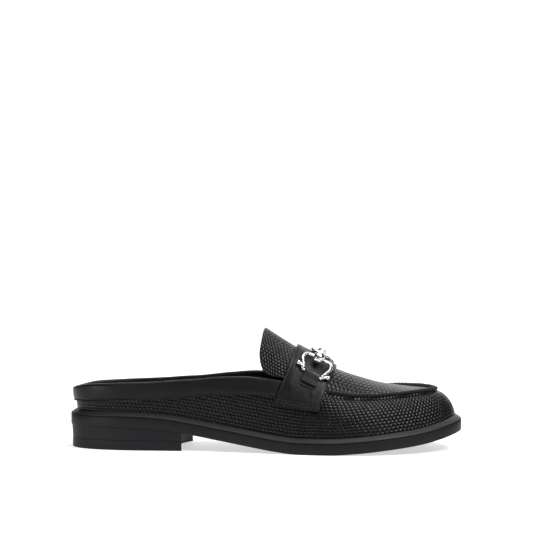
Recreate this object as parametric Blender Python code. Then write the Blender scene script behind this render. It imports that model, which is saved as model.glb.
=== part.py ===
"""A backless loafer with an apron toe, a saddle strap and a snaffle-bit ornament: the right shoe.

Metres, +X to the toe, +Y to the inner side of the foot, +Z up. The floor is z = 0, and the origin lies
under the middle of the outsole.
"""

import math

import bmesh
import bpy
import numpy as np

# Main sizes of the last and the sole
LENGTH = 0.265
BALL_WIDTH = 0.093
INSTEP_HEIGHT = 0.054
HEEL_RISE = 0.0151
TOE_SPRING = 0.0126

# Sole, welt and heel
OUTSOLE_THICKNESS = 0.0070
OUTSOLE_EDGE_ROUND = 0.0010
WELT_EDGE = 0.0010
WELT_RISE = 0.0024
WELT_MARGIN = 0.0042
WELT_LEDGE = 0.0012
TOP_LIFT_THICKNESS = 0.0065
TOP_LIFT_PROUD = 0.0003
HEEL_INSET = 0.0006
HEEL_TAPER = 0.0006
HEEL_LENGTH = 0.0800
BREAST_HOLLOW = 0.0070

# Leather
UPPER_WALL = 0.0018
SEAM_HALF_WIDTH = 0.0014
SEAM_HEIGHT = 0.0017
APRON_SINK = 0.0006
INSOLE_THICKNESS = 0.0040
INSOLE_EASE = 0.0018
BAND_THICKNESS = 0.0010
BAND_INNER_DEPTH = 0.0050
TONGUE_WALL = 0.0020
TONGUE_CORNER = 0.0125
STRAP_THICKNESS = 0.0020
KEEPER_WIDTH = 0.0112
KEEPER_THICKNESS = 0.0011
KEEPER_LENGTH = 0.0095

# Ornament
RING_RADIUS = 0.00125
RING_HALF_WIDTH = 0.0109
RING_ARM = 0.0038
RING_TOP = 0.0131
RING_FOOT = 0.0077
RING_BALL = 0.0016
RING_BALL_OUT = 0.0118
BAR_RADIUS = 0.0008
BAR_FROM_RIDGE = 0.0276
BAR_SLOPE = 0.28
BARREL_RADIUS = 0.0034
BARREL_FROM_RIDGE = 0.0150
LINK_NECK = 0.0012
EYE_LENGTH = 0.0150
EYE_WIDTH = 0.0060
EYE_RADIUS = 0.0010

# Between pieces that meet
GAP = 0.0003

# Number of steps along each side from heel to toe
STEPS = 40

LATERAL = -1
MEDIAL = 1

# along: share of LENGTH. lateral, medial: half widths as shares of BALL_WIDTH.
OUTLINE = (
    ("along", "lateral", "medial"),
    (0.000, 0.000, 0.000),
    (0.030, 0.205, 0.210),
    (0.080, 0.290, 0.298),
    (0.160, 0.335, 0.338),
    (0.260, 0.340, 0.318),
    (0.360, 0.352, 0.280),
    (0.460, 0.396, 0.278),
    (0.560, 0.457, 0.345),
    (0.650, 0.500, 0.437),
    (0.740, 0.500, 0.490),
    (0.820, 0.452, 0.492),
    (0.890, 0.362, 0.440),
    (0.950, 0.240, 0.335),
    (0.985, 0.120, 0.205),
    (1.000, -0.040, 0.040),
)

# The underside of the outsole. heel: share of HEEL_RISE. toe: share of TOE_SPRING.
UNDERSIDE = (
    ("along", "heel", "toe"),
    (0.000, 1.000, 0.000),
    (0.120, 1.000, 0.000),
    (0.200, 0.965, 0.000),
    (0.265, 0.875, 0.000),
    (0.330, 0.695, 0.000),
    (0.395, 0.495, 0.000),
    (0.483, 0.235, 0.000),
    (0.540, 0.085, 0.000),
    (0.595, 0.000, 0.000),
    (0.665, 0.000, 0.000),
    (0.740, 0.000, 0.090),
    (0.820, 0.000, 0.260),
    (0.900, 0.000, 0.475),
    (0.950, 0.000, 0.700),
    (1.000, 0.000, 1.000),
)

# The topline and, in front of the strap, the seam of the apron. inward: from the feather line, share of
# BALL_WIDTH. forward: share of LENGTH. outer, inner: rise above the feather line on either side, share of
# INSTEP_HEIGHT. bulge: 0 for a straight wall below it, 1 for a full one.
RIM = (
    ("along", "inward", "forward", "outer", "inner", "bulge"),
    (0.000, -0.020, 0.000, 0.247, 0.247, 0.00),
    (0.045, -0.017, 0.000, 0.296, 0.286, 0.00),
    (0.113, -0.008, 0.002, 0.317, 0.301, 0.20),
    (0.208, -0.002, 0.004, 0.350, 0.335, 0.30),
    (0.302, 0.005, 0.009, 0.433, 0.421, 0.35),
    (0.392, 0.019, 0.021, 0.553, 0.555, 0.40),
    (0.445, 0.032, 0.032, 0.597, 0.622, 0.50),
    (0.491, 0.045, 0.043, 0.604, 0.646, 0.60),
    (0.558, 0.081, 0.045, 0.592, 0.632, 0.75),
    (0.619, 0.113, 0.042, 0.543, 0.574, 0.85),
    (0.698, 0.143, 0.030, 0.495, 0.528, 0.85),
    (0.774, 0.150, 0.017, 0.458, 0.499, 0.85),
    (0.849, 0.150, 0.006, 0.432, 0.476, 0.85),
    (0.917, 0.146, 0.000, 0.399, 0.430, 0.85),
    (0.970, 0.142, 0.000, 0.350, 0.362, 0.85),
    (1.000, 0.140, 0.000, 0.307, 0.307, 0.85),
)

# The ridge line of vamp and tongue over the hoop that starts at along. ridge: its own place, share of
# LENGTH. rise: above the feather line, share of INSTEP_HEIGHT. crown: 0 for a square hoop, 1 for a peak.
RIDGE = (
    ("along", "ridge", "rise", "crown"),
    (0.445, 0.504, 1.211, 0.34),
    (0.491, 0.587, 0.998, 0.34),
    (0.558, 0.635, 0.930, 0.38),
    (0.619, 0.679, 0.807, 0.44),
    (0.698, 0.740, 0.694, 0.50),
    (0.774, 0.792, 0.591, 0.50),
    (0.849, 0.842, 0.504, 0.50),
    (0.917, 0.879, 0.428, 0.50),
    (0.970, 0.900, 0.359, 0.50),
    (1.000, 0.909, 0.304, 0.50),
)

# The width of the topline band, as shares of INSTEP_HEIGHT.
BAND = (
    ("along", "width"),
    (0.000, 0.140),
    (0.060, 0.195),
    (0.150, 0.202),
    (0.250, 0.215),
    (0.350, 0.226),
    (0.440, 0.238),
    (0.510, 0.240),
)

# The strap's back and front edges at a place in the hoop, as shares of LENGTH along the feather line.
STRAP = (
    ("place", "back", "front"),
    (0.440, 0.5028, 0.6178),
    (0.800, 0.5026, 0.6140),
    (1.000, 0.5025, 0.6122),
    (1.200, 0.4976, 0.6147),
    (1.400, 0.4930, 0.6181),
    (1.600, 0.4903, 0.6211),
    (2.000, 0.4869, 0.6231),
)

# Hoops, by the place where they start on the feather line, as shares of LENGTH
TONGUE_BACK = 0.445
THROAT = 0.505
BAND_END = 0.501
ORNAMENT = 0.5625
SEAM_START = 0.6132

# The strap's lower corners and the tongue's side edges, by their place in the hoop
STRAP_LOWER_BACK = 0.49
STRAP_LOWER_FRONT = 0.44
TONGUE_SIDE = 1.07


def steady(xs, ys):
    """Returns the curve through the points that never swings past them, as a function."""
    steps = np.diff(xs)
    slopes = np.diff(ys) / steps
    inner = [
        0.0 if a * b <= 0 else 3 * (p + q) / ((2 * q + p) / a + (q + 2 * p) / b)
        for a, b, p, q in zip(slopes, slopes[1:], steps, steps[1:])
    ]
    turns = [slopes[0], *inner, slopes[-1]]

    def read(x):
        i = min(max(int(np.searchsorted(xs, x)) - 1, 0), len(steps) - 1)
        f = (x - xs[i]) / steps[i]
        blend = f * f * (3 - 2 * f)
        bend = steps[i] * (f * (1 - f) ** 2 * turns[i] - f * f * (1 - f) * turns[i + 1])
        return float(ys[i] + (ys[i + 1] - ys[i]) * blend + bend)

    return read


def flowing(xs, ys):
    """Returns the curve of even bend through the points, as a function."""
    steps = np.diff(xs)
    count = len(xs)
    matrix = np.eye(count)
    right = np.zeros(count)
    for i in range(1, count - 1):
        matrix[i, i - 1 : i + 2] = steps[i - 1], 2 * (steps[i - 1] + steps[i]), steps[i]
        right[i] = 6 * ((ys[i + 1] - ys[i]) / steps[i] - (ys[i] - ys[i - 1]) / steps[i - 1])
    bends = np.linalg.solve(matrix, right)

    def read(x):
        i = min(max(int(np.searchsorted(xs, x)) - 1, 0), count - 2)
        a = (xs[i + 1] - x) / steps[i]
        b = 1 - a
        ease = (a**3 - a) * bends[i] + (b**3 - b) * bends[i + 1]
        return a * ys[i] + b * ys[i + 1] + ease * steps[i] ** 2 / 6

    return read


def turn_at(along):
    """Returns the turn, 0 at the heel and 1 at the toe, of a share of the length."""
    return math.acos(1 - 2 * along) / math.pi


def along_at(turn):
    """Returns the share of the length at a turn."""
    return (1 - math.cos(math.pi * turn)) / 2


def curves(table):
    """Returns a curve for each column of a table after its first, by name."""
    columns = np.array(table[1:]).T
    return {name: steady(columns[0], column) for name, column in zip(table[0][1:], columns[1:])}


def side_curve():
    """Returns the half width at a turn: -1 to 0 is the outer side, toe to heel, and 0 to 1 the inner."""
    around = [(-turn_at(along), -lateral) for along, lateral, _ in OUTLINE[1:]]
    around += [(turn_at(along), medial) for along, _, medial in OUTLINE[2:]]
    around.sort()
    before = [(turn - 2, width) for turn, width in around[-4:-1]]
    after = [(turn + 2, width) for turn, width in around[1:4]]
    xs, ys = np.array(before + around + after).T
    return flowing(xs, ys)


SIDE = side_curve()
UNDER = curves(UNDERSIDE)
SEAM = curves(RIM)
CREST = curves(RIDGE)
BAND_WIDTH = curves(BAND)["width"]
STRAP_EDGE = curves(STRAP)
SIDE_SAMPLES = [SIDE(turn) for turn in np.linspace(-1, 1, 401)]
MIDDLE = (min(SIDE_SAMPLES) + max(SIDE_SAMPLES)) / 2
TURNS = [k / STEPS for k in range(STEPS + 1)]


def edge_point(turn):
    """Returns the outsole's plan outline at a signed turn."""
    x = (along_at(abs(turn)) - 0.5) * LENGTH
    return np.array([x, (SIDE(turn) - MIDDLE) * BALL_WIDTH])


def inward_of(turn):
    """Returns the unit direction in plan that points into the outline at a signed turn."""
    step = 1e-4
    ahead = edge_point(min(turn + step, 1)) - edge_point(max(turn - step, -1))
    if abs(turn) > 1 - step:
        ahead = edge_point(-1 + step) - edge_point(1 - step)
    side = np.array([ahead[1], -ahead[0]])
    return side / np.linalg.norm(side)


def inset(turn, distance):
    """Returns the outline moved inward by a distance."""
    return edge_point(turn) + inward_of(turn) * distance


def underside(along):
    """Returns the height of the outsole's underside."""
    return UNDER["heel"](along) * HEEL_RISE + UNDER["toe"](along) * TOE_SPRING


def along_of(x):
    """Returns the share of the length at a place in X."""
    return min(max(x / LENGTH + 0.5, 0.0), 1.0)


def welt_top(along):
    """Returns the height of the welt's inner ledge, which the upper stands on."""
    return underside(along) + OUTSOLE_THICKNESS + WELT_EDGE + WELT_RISE


def feather(turn):
    """Returns the foot of the upper's outer face at a signed turn."""
    x, y = inset(turn, WELT_MARGIN)
    return np.array([x, y, welt_top(along_at(abs(turn))) + GAP])


def rim(turn):
    """Returns the topline or apron seam at a signed turn."""
    along = along_at(abs(turn))
    x, y = inset(turn, WELT_MARGIN + SEAM["inward"](along) * BALL_WIDTH)
    rise = SEAM["outer" if turn < 0 else "inner"](along)
    z = welt_top(along) + rise * INSTEP_HEIGHT
    return np.array([x + SEAM["forward"](along) * LENGTH, y, z])


def ridge(turn):
    """Returns the middle of the hoop that starts at a turn."""
    along = along_at(abs(turn))
    x = (CREST["ridge"](along) - 0.5) * LENGTH
    y = (rim(turn)[1] + rim(-turn)[1]) / 2
    z = welt_top(along) + CREST["rise"](along) * INSTEP_HEIGHT
    return np.array([x, y, z])


def between(low, high, level, upright, turn):
    """Returns a control point: level is the share moved in plan, upright the share moved up."""
    lean = inward_of(turn)[1] ** 2
    along = level * (1 - lean) + upright * lean
    return low + (high - low) * np.array([along, level, upright])


def bezier(a, b, c, f):
    """Returns a point of the curve from a to c that b pulls on."""
    return a * (1 - f) ** 2 + b * 2 * f * (1 - f) + c * f * f


def skin(turn, place):
    """Returns a point of the upper's outer face: place 0 feather, 1 topline or seam, 2 ridge."""
    low, seam = feather(turn), rim(turn)
    along = along_at(abs(turn))
    if place <= 1:
        bulge = SEAM["bulge"](along)
        pull = between(low, seam, 0.5 - 0.38 * bulge, 0.5 + 0.27 * bulge, turn)
        return bezier(low, pull, seam, place)
    top = ridge(turn)
    return bezier(seam, between(seam, top, CREST["crown"](along), 1.0, turn), top, place - 1)


def outward(turn, place):
    """Returns the unit normal of the upper's outer face."""
    step = 1e-3
    side = MEDIAL if turn > 0 else LATERAL
    size = abs(turn)
    if place > 2 - step:
        crest = ridge(min(size + step, 1)) - ridge(size - step)
        return np.array([-crest[2], 0.0, crest[0]]) / math.hypot(crest[0], crest[2])
    ahead = skin(side * min(size + step, 1), place) - skin(side * (size - step), place)
    low, high = (max(place - step, 0), min(place + step, 1)) if place <= 1 else (place - step, place)
    up = skin(turn, high) - skin(turn, low)
    normal = np.cross(up, ahead) * side
    return normal / np.linalg.norm(normal)


def proud(turn, place, height):
    """Returns a point at a height over the upper's outer face."""
    return skin(turn, place) + outward(turn, place) * height


def material(name, colour, roughness, metallic=0.0):
    """Makes a plain material."""
    made = bpy.data.materials.new(name)
    made.use_nodes = True
    shader = made.node_tree.nodes["Principled BSDF"]
    shader.inputs["Base Color"].default_value = (*colour, 1.0)
    shader.inputs["Roughness"].default_value = roughness
    shader.inputs["Metallic"].default_value = metallic
    return made


def solid(name, points, faces, finish):
    """Makes a closed object with its faces turned outwards."""
    mesh = bpy.data.meshes.new(name)
    body = bmesh.new()
    made = [body.verts.new(point) for point in points]
    for face in faces:
        body.faces.new([made[index] for index in face])
    bmesh.ops.triangulate(body, faces=[face for face in body.faces if len(face.verts) > 4])
    bmesh.ops.recalc_face_normals(body, faces=body.faces)
    body.to_mesh(mesh)
    body.free()
    mesh.shade_smooth()
    mesh.set_sharp_from_angle(angle=math.radians(35))
    mesh.materials.append(finish)
    made_object = bpy.data.objects.new(name, mesh)
    bpy.context.scene.collection.objects.link(made_object)
    return made_object


def ring_turns():
    """Returns signed turns once round: heel, outer side, toe, inner side."""
    return [-turn for turn in TURNS] + TURNS[-2:0:-1]


def ring(distance, height):
    """Returns a closed ring at an inset, at a height that depends on the place along."""
    return [(*inset(turn, distance), height(along_at(abs(turn)))) for turn in ring_turns()]


def walls(first, second, count):
    """Returns the faces between two rings that start at these indices."""
    return [
        (first + k, first + (k + 1) % count, second + (k + 1) % count, second + k)
        for k in range(count)
    ]


def lid(start):
    """Returns the faces that close a ring, straight across from side to side."""
    count = 2 * STEPS
    faces = [(start, start + 1, start + count - 1)]
    faces += [(start + k, start + k + 1, start + count - k - 1, start + count - k) for k in range(1, STEPS - 1)]
    return faces + [(start + STEPS - 1, start + STEPS, start + STEPS + 1)]


def stack(name, rings, finish, hollow=False):
    """Makes a solid of rings one over the other, closed by lids, or by its last ring joined to its first."""
    count = 2 * STEPS
    faces = []
    for k in range(len(rings) - 1):
        faces += walls(k * count, (k + 1) * count, count)
    if hollow:
        faces += walls((len(rings) - 1) * count, 0, count)
    else:
        faces += lid(0) + lid((len(rings) - 1) * count)
    return solid(name, [point for one in rings for point in one], faces, finish)


def shell(name, low, high, finish):
    """Makes a solid between two equal grids of points, each given as rows."""
    across, along = len(low), len(low[0])
    points = [point for grid in (low, high) for row in grid for point in row]

    def at(layer, i, j):
        return (layer * across + i) * along + j

    faces = []
    for i in range(across - 1):
        for j in range(along - 1):
            for layer in (0, 1):
                faces.append([at(layer, i, j), at(layer, i + 1, j), at(layer, i + 1, j + 1), at(layer, i, j + 1)])
    for j in range(along - 1):
        for i in (0, across - 1):
            faces.append([at(0, i, j), at(0, i, j + 1), at(1, i, j + 1), at(1, i, j)])
    for i in range(across - 1):
        for j in (0, along - 1):
            faces.append([at(0, i, j), at(0, i + 1, j), at(1, i + 1, j), at(1, i, j)])
    return solid(name, points, faces, finish)


def sweep(name, sections, finish, folded=False, looped=False):
    """Makes a solid from equal closed sections, one after the other, with its two ends closed or joined.

    A folded section is an outer row of points followed by as many inner ones the other way.
    """
    count = len(sections[0])
    faces = []
    for k in range(len(sections) - 1):
        faces += walls(k * count, (k + 1) * count, count)
    last = (len(sections) - 1) * count
    if looped:
        faces += walls(last, 0, count)
    for start in () if looped else (0, last):
        if folded:
            pairs = [(start + k, start + count - 1 - k) for k in range(count // 2)]
            faces += [(a, b, d, c) for (a, c), (b, d) in zip(pairs, pairs[1:])]
        else:
            faces.append(list(range(start, start + count)))
    return solid(name, [point for section in sections for point in section], faces, finish)


def tube(name, path, radii, finish, sides=10, looped=False):
    """Makes a round bar of changing radius along a path, or round a loop."""
    path = [np.array(point) for point in path]
    sections = []
    across = np.array([0.0, 0.0, 1.0])
    for k, point in enumerate(path):
        before, after = (k - 1, (k + 1) % len(path)) if looped else (max(k - 1, 0), min(k + 1, len(path) - 1))
        ahead = path[after] - path[before]
        ahead = ahead / np.linalg.norm(ahead)
        across = across - ahead * across.dot(ahead)
        across = across / np.linalg.norm(across)
        other = np.cross(ahead, across)
        angles = [2 * math.pi * n / sides for n in range(sides)]
        sections.append(
            [point + (across * math.cos(a) + other * math.sin(a)) * radii[k] for a in angles]
        )
    return sweep(name, sections, finish, looped=looped)


def build_outsole(finish):
    """The sole from heel seat to toe."""
    round_off = OUTSOLE_EDGE_ROUND

    def top(along):
        return underside(along) + OUTSOLE_THICKNESS

    rings = [
        ring(2 * round_off, underside),
        ring(0.6 * round_off, lambda along: underside(along) + 0.3 * round_off),
        ring(0.0, lambda along: underside(along) + 1.2 * round_off),
        ring(0.0, top),
    ]
    return stack("outsole", rings, finish)


def build_welt(finish):
    """The strip round the top of the sole, sloping up to the foot of the upper."""
    ledge = WELT_MARGIN + UPPER_WALL + WELT_LEDGE

    def foot(along):
        return underside(along) + OUTSOLE_THICKNESS + GAP

    def edge(along):
        return underside(along) + OUTSOLE_THICKNESS + WELT_EDGE

    rings = [
        ring(0.0, foot),
        ring(0.0, edge),
        ring(0.88 * WELT_MARGIN, welt_top),
        ring(ledge, welt_top),
        ring(ledge, foot),
    ]
    return stack("welt", rings, finish, hollow=True)


def build_insole(finish):
    """The footbed, let into the welt and cupped a little."""
    ledge = WELT_MARGIN + UPPER_WALL + WELT_LEDGE + GAP
    wall = WELT_MARGIN + UPPER_WALL + INSOLE_EASE

    def foot(along):
        return underside(along) + OUTSOLE_THICKNESS + GAP

    def seat(along):
        return welt_top(along) + GAP

    def top(along):
        return welt_top(along) + INSOLE_THICKNESS

    rings = [ring(ledge, foot), ring(ledge, seat), ring(wall, seat), ring(wall, top)]
    rings.append(ring(4 * wall, lambda along: top(along) - 0.2 * INSOLE_THICKNESS))
    return stack("insole", rings, finish)


def heel_outline(distance):
    """Returns the plan of the heel: round the back from breast corner to corner, then the hollow breast."""
    corner = HEEL_LENGTH / LENGTH
    last = turn_at(corner)
    count = 18
    around = [inset(last * k / count, distance) for k in range(-count, count + 1)]
    first, final = around[0], around[-1]
    steps = 10
    for k in range(1, steps):
        f = k / steps
        point = final + (first - final) * f
        around.append(point - np.array([BREAST_HOLLOW * 4 * f * (1 - f), 0.0]))
    return around


def build_block(name, low, high, low_inset, high_inset, finish):
    """Makes a heel piece between two heights, given as functions of the share of the length."""
    lower = [(x, y, low(along_of(x))) for x, y in heel_outline(low_inset)]
    upper = [(x, y, high(along_of(x))) for x, y in heel_outline(high_inset)]
    return sweep(name, [lower, upper], finish)


def build_heel(block_finish, lift_finish):
    """The heel block and the lift below it."""
    build_block(
        "top_lift",
        lambda along: 0.0,
        lambda along: TOP_LIFT_THICKNESS,
        HEEL_INSET + HEEL_TAPER - TOP_LIFT_PROUD,
        HEEL_INSET + HEEL_TAPER - TOP_LIFT_PROUD,
        lift_finish,
    )
    build_block(
        "heel",
        lambda along: TOP_LIFT_THICKNESS + GAP,
        lambda along: underside(along) - GAP,
        HEEL_INSET + HEEL_TAPER,
        HEEL_INSET,
        block_finish,
    )


def upper_places(turn):
    """Returns the places of the upper's rows in the hoop at a turn."""
    seam = rim(turn)
    below = np.linalg.norm(seam - skin(turn, 0.95)) / 0.05
    beyond = np.linalg.norm(skin(turn, 1.05) - seam) / 0.05 if along_at(turn) >= TONGUE_BACK else below
    half = (SEAM_HALF_WIDTH / below, SEAM_HALF_WIDTH / beyond)
    wall = [0.0, 0.18, 0.36, 0.54, 0.72, 0.87 - half[0] / 2]
    seam_rows = [1 - half[0], 1 - 0.5 * half[0], 1.0, 1 + 0.5 * half[1], 1 + half[1]]
    apron = [1.28, 1.5, 1.75, 2.0]
    return wall + seam_rows + apron


def relief(row, along):
    """Returns how far the upper's outer face is raised at a row of upper_places."""
    raised = {7: 0.75, 8: 1.0, 9: 0.55}
    if along < SEAM_START + 0.002:
        return 0.0
    if row in raised:
        return raised[row] * SEAM_HEIGHT
    return {10: -APRON_SINK, 11: -APRON_SINK, 12: -0.5 * APRON_SINK}.get(row, 0.0)


def upper_turns():
    """Returns the upper's columns, with one at the throat and two where the seam comes out of the strap."""
    marks = [turn_at(THROAT), turn_at(SEAM_START), turn_at(SEAM_START + 0.003)]
    spacing = 0.5 / STEPS
    plain = [turn for turn in TURNS if min(abs(turn - mark) for mark in marks) > spacing * 0.8]
    return sorted(plain + marks)


def build_upper(finish):
    """The hollow leather upper, with the raised seam of its apron as a step in its wall."""
    turns = upper_turns()
    last = len(turns) - 1
    throat = turns.index(turn_at(THROAT))
    top_row = 14
    seam_row = 8
    points = {}
    for side in (LATERAL, MEDIAL):
        for i, turn in enumerate(turns):
            places = upper_places(turn)
            for j in range(top_row + 1 if i >= throat else seam_row + 1):
                shared = i in (0, last) or j == top_row
                key = (0 if shared else side, i, j)
                place = places[j]
                base = skin(side * turn, place)
                normal = outward(side * max(turn, 1e-6), place)
                if i in (0, last):
                    normal = normal + outward(-side * max(turn, 1e-6), place)
                    normal = normal / np.linalg.norm(normal)
                inner = base - normal * UPPER_WALL
                if j == 0:
                    inner[2] = base[2]
                points.setdefault(key, (base + normal * relief(j, along_at(turn)), inner))
    index = {key: k for k, key in enumerate(points)}
    count = len(points)

    def at(side, i, j):
        return index[(0 if i in (0, last) or j == top_row else side, i, j)]

    cells = []
    for side in (LATERAL, MEDIAL):
        for i in range(last):
            for j in range(top_row if i >= throat else seam_row):
                cell = [at(side, i, j), at(side, i + 1, j), at(side, i + 1, j + 1), at(side, i, j + 1)]
                cells.append(list(dict.fromkeys(cell)) if side == LATERAL else list(dict.fromkeys(cell))[::-1])
    edges = {}
    for cell in cells:
        for a, b in zip(cell, cell[1:] + cell[:1]):
            edges[(a, b)] = edges.get((a, b), 0) + 1
    rims = [(a, b) for a, b in edges if (b, a) not in edges]
    faces = cells + [[count + k for k in reversed(cell)] for cell in cells]
    faces += [[b, a, count + a, count + b] for a, b in rims]
    outer = [outer for outer, _ in points.values()]
    inner = [inner for _, inner in points.values()]
    return solid("upper", outer + inner, faces, finish)


def band_section(turn):
    """Returns the folded section of the topline band at a signed turn."""
    width = BAND_WIDTH(along_at(abs(turn))) * INSTEP_HEIGHT
    height = np.linalg.norm(skin(turn, 1.0) - skin(turn, 0.0))
    lower = 1 - width / height
    inner = 1 - BAND_INNER_DEPTH / height
    near, far = GAP, GAP + BAND_THICKNESS
    inside, deep = -UPPER_WALL - near, -UPPER_WALL - far
    up = skin(turn, 1.0) - skin(turn, 0.98)
    up = up / np.linalg.norm(up)
    middle = -UPPER_WALL / 2
    outer = [
        proud(turn, lower, far),
        proud(turn, (lower + 1) / 2, far),
        proud(turn, 1.0, far),
        proud(turn, 1.0, 0.55 * far) + up * 0.8 * far,
        proud(turn, 1.0, middle) + up * 1.15 * far,
        proud(turn, 1.0, 0.55 * deep + 0.45 * inside) + up * 0.5 * far,
        proud(turn, inner, deep),
    ]
    lining = [
        proud(turn, lower, near),
        proud(turn, (lower + 1) / 2, near),
        proud(turn, 1.0, near),
        proud(turn, 1.0, near) + up * near,
        proud(turn, 1.0, middle) + up * near,
        proud(turn, 1.0, inside) + up * near,
        proud(turn, inner, inside),
    ]
    return outer + lining[::-1]


def build_band(finish):
    """Smooth leather folded over the topline, from strap to strap round the heel."""
    last = turn_at(BAND_END)
    side = [turn for turn in upper_turns() if 0 < turn < last - 0.004] + [last]
    turns = [-turn for turn in reversed(side)] + [1e-6] + side
    return sweep("topline_band", [band_section(turn) for turn in turns], finish, folded=True)


def hoop_grid(turns, low_place, height, half_rows):
    """Returns rows over the instep, from outer to inner side, at a height over the upper's face."""
    grid = []
    for k in range(-half_rows, half_rows + 1):
        side = MEDIAL if k > 0 else LATERAL
        row = []
        for turn in turns:
            low = low_place(turn)
            place = 2 - (2 - low) * abs(k) / half_rows
            row.append(proud(side * turn, place, height))
        grid.append(row)
    return grid


def build_tongue(finish):
    """The tab behind the strap, in line with the vamp, with round corners."""
    back, front = turn_at(TONGUE_BACK), turn_at(THROAT)
    middle = ridge(front) - ridge(back)
    corner = min(TONGUE_CORNER / np.linalg.norm(middle), 0.9)
    hoop = np.linalg.norm(skin(-back, TONGUE_SIDE) - skin(-back, 2.0))
    lift = TONGUE_CORNER / hoop * (2 - TONGUE_SIDE)
    gap = GAP / np.linalg.norm(middle)
    shares = [corner * (1 - math.cos(math.radians(15 * k))) for k in range(7)]
    shares += [corner + (1 - corner - gap) * k / 3 for k in (1, 2, 3)]

    def low_place(turn):
        f = (turn - back) / (front - back)
        q = max(0.0, 1 - f / corner)
        return TONGUE_SIDE + lift * (1 - math.sqrt(max(0.0, 1 - q * q)))

    turns = [back + (front - back) * share for share in shares]
    high = hoop_grid(turns, low_place, 0.0, 8)
    low = hoop_grid(turns, low_place, -TONGUE_WALL, 8)
    return shell("tongue", low, high, finish)


def strap_grid(height, half_rows=12, columns=6):
    """Returns rows over the instep, from outer to inner side, between the strap's edges at a height."""
    grid = []
    for k in range(-half_rows, half_rows + 1):
        side = MEDIAL if k > 0 else LATERAL
        row = []
        for j in range(columns + 1):
            f = j / columns
            lower = STRAP_LOWER_BACK + (STRAP_LOWER_FRONT - STRAP_LOWER_BACK) * f
            place = 2 - (2 - lower) * abs(k) / half_rows
            back, front = turn_at(STRAP_EDGE["back"](place)), turn_at(STRAP_EDGE["front"](place))
            row.append(proud(side * (back + (front - back) * f), place, height))
        grid.append(row)
    return grid


def build_strap(finish):
    """The saddle strap over the instep, a little waisted."""
    return shell("saddle_strap", strap_grid(GAP), strap_grid(GAP + STRAP_THICKNESS), finish)


def strap_point(side, ahead, down, height):
    """Returns a point over the strap: ahead of the ornament's middle, down from the ridge, above its face."""
    middle = turn_at(ORNAMENT)
    level = GAP + STRAP_THICKNESS
    places = np.linspace(2.0, 0.4, 33)
    hoop = [proud(side * middle, place, level) for place in places]
    run = np.concatenate([[0.0], np.cumsum(np.linalg.norm(np.diff(hoop, axis=0), axis=1))])
    place = float(np.interp(down, run, places))
    step = 1e-3
    near, far = (proud(side * turn, place, level) for turn in (middle - step, middle + step))
    return proud(side * (middle + ahead * 2 * step / np.linalg.norm(far - near)), place, level + height)


def build_keeper(side, name, finish):
    """A short leather loop, fixed to the strap and folded over the bar of the ring."""
    bar = BAR_FROM_RIDGE
    clear = BAR_RADIUS + GAP
    outer = clear + KEEPER_THICKNESS
    level = GAP + BAR_RADIUS
    end = bar + KEEPER_LENGTH - outer
    section = [
        (end, GAP),
        (end, GAP + KEEPER_THICKNESS),
        (bar + 2.2 * outer, GAP + 1.15 * KEEPER_THICKNESS),
        (bar + 1.1 * outer, level + 0.55 * outer),
        (bar + 0.5 * outer, level + 0.95 * outer),
        (bar - 0.4 * outer, level + 0.95 * outer),
        (bar - 0.95 * outer, level + 0.3 * outer),
        (bar - outer, GAP),
        (bar - 1.05 * clear, GAP),
        (bar - 1.05 * clear, level + 0.3 * clear),
        (bar - 0.45 * clear, level + clear),
        (bar + 0.45 * clear, level + clear),
        (bar + 1.15 * clear, level + 0.2 * clear),
        (bar + 1.6 * clear, GAP),
    ]
    sections = []
    for k in range(5):
        ahead = KEEPER_WIDTH * (k / 4 - 0.5)
        sections.append([strap_point(side, ahead, down + BAR_SLOPE * ahead, height) for down, height in section])
    return sweep(name, sections, finish, folded=True)


def arm_path(side, way):
    """Returns the centre line and radii of one arm of a half-ring: from the barrel out to its ball end."""
    top, bar = RING_TOP, BAR_FROM_RIDGE
    fall = bar - top
    arm = [
        (RING_ARM, 0.0, 0.85),
        (0.72 * RING_HALF_WIDTH, 0.0, 1.0),
        (0.90 * RING_HALF_WIDTH, 0.08, 1.1),
        (0.99 * RING_HALF_WIDTH, 0.23, 1.1),
        (RING_HALF_WIDTH, 0.37, 1.05),
        (0.95 * RING_HALF_WIDTH, 0.50, 0.95),
        (0.85 * RING_HALF_WIDTH, 0.64, 0.85),
        (0.75 * RING_HALF_WIDTH, 0.78, 0.85),
        (RING_FOOT, 0.93, 1.15),
        (RING_FOOT + 0.9 * RING_RADIUS, 0.90, 0.75),
    ]
    for k in range(5):
        angle = math.radians(40 + 31 * k)
        ball = RING_BALL * math.sin(angle) / RING_RADIUS
        arm.append((RING_BALL_OUT - RING_BALL * math.cos(angle), 0.82, ball))
    lift = GAP + RING_BALL
    path = [strap_point(side, way * a, top + b * (fall + way * a * BAR_SLOPE), lift) for a, b, _ in arm]
    return path, [c * RING_RADIUS for _, _, c in arm]


def join(first, others):
    """Joins the other objects onto the first, and hides them."""
    for other in others:
        other.hide_render = True
        other.display_type = "WIRE"
        union = first.modifiers.new(other.name, "BOOLEAN")
        union.operation = "UNION"
        union.solver = "EXACT"
        union.object = other
    return first


def build_ring(side, name, finish):
    """A half-ring of two bent arms, with the bar that its keeper holds between their feet."""
    arms = [tube(name + part, *arm_path(side, way), finish, sides=8) for part, way in (("", -1), ("_arm", 1))]
    reach = [RING_FOOT * share for share in (-1, -0.5, 0, 0.5, 1)]
    path = [strap_point(side, a, BAR_FROM_RIDGE + BAR_SLOPE * a, GAP + BAR_RADIUS) for a in reach]
    bar = tube(name + "_bar", path, [BAR_RADIUS] * len(path), finish, sides=8)
    return join(arms[0], [arms[1], bar])


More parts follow.
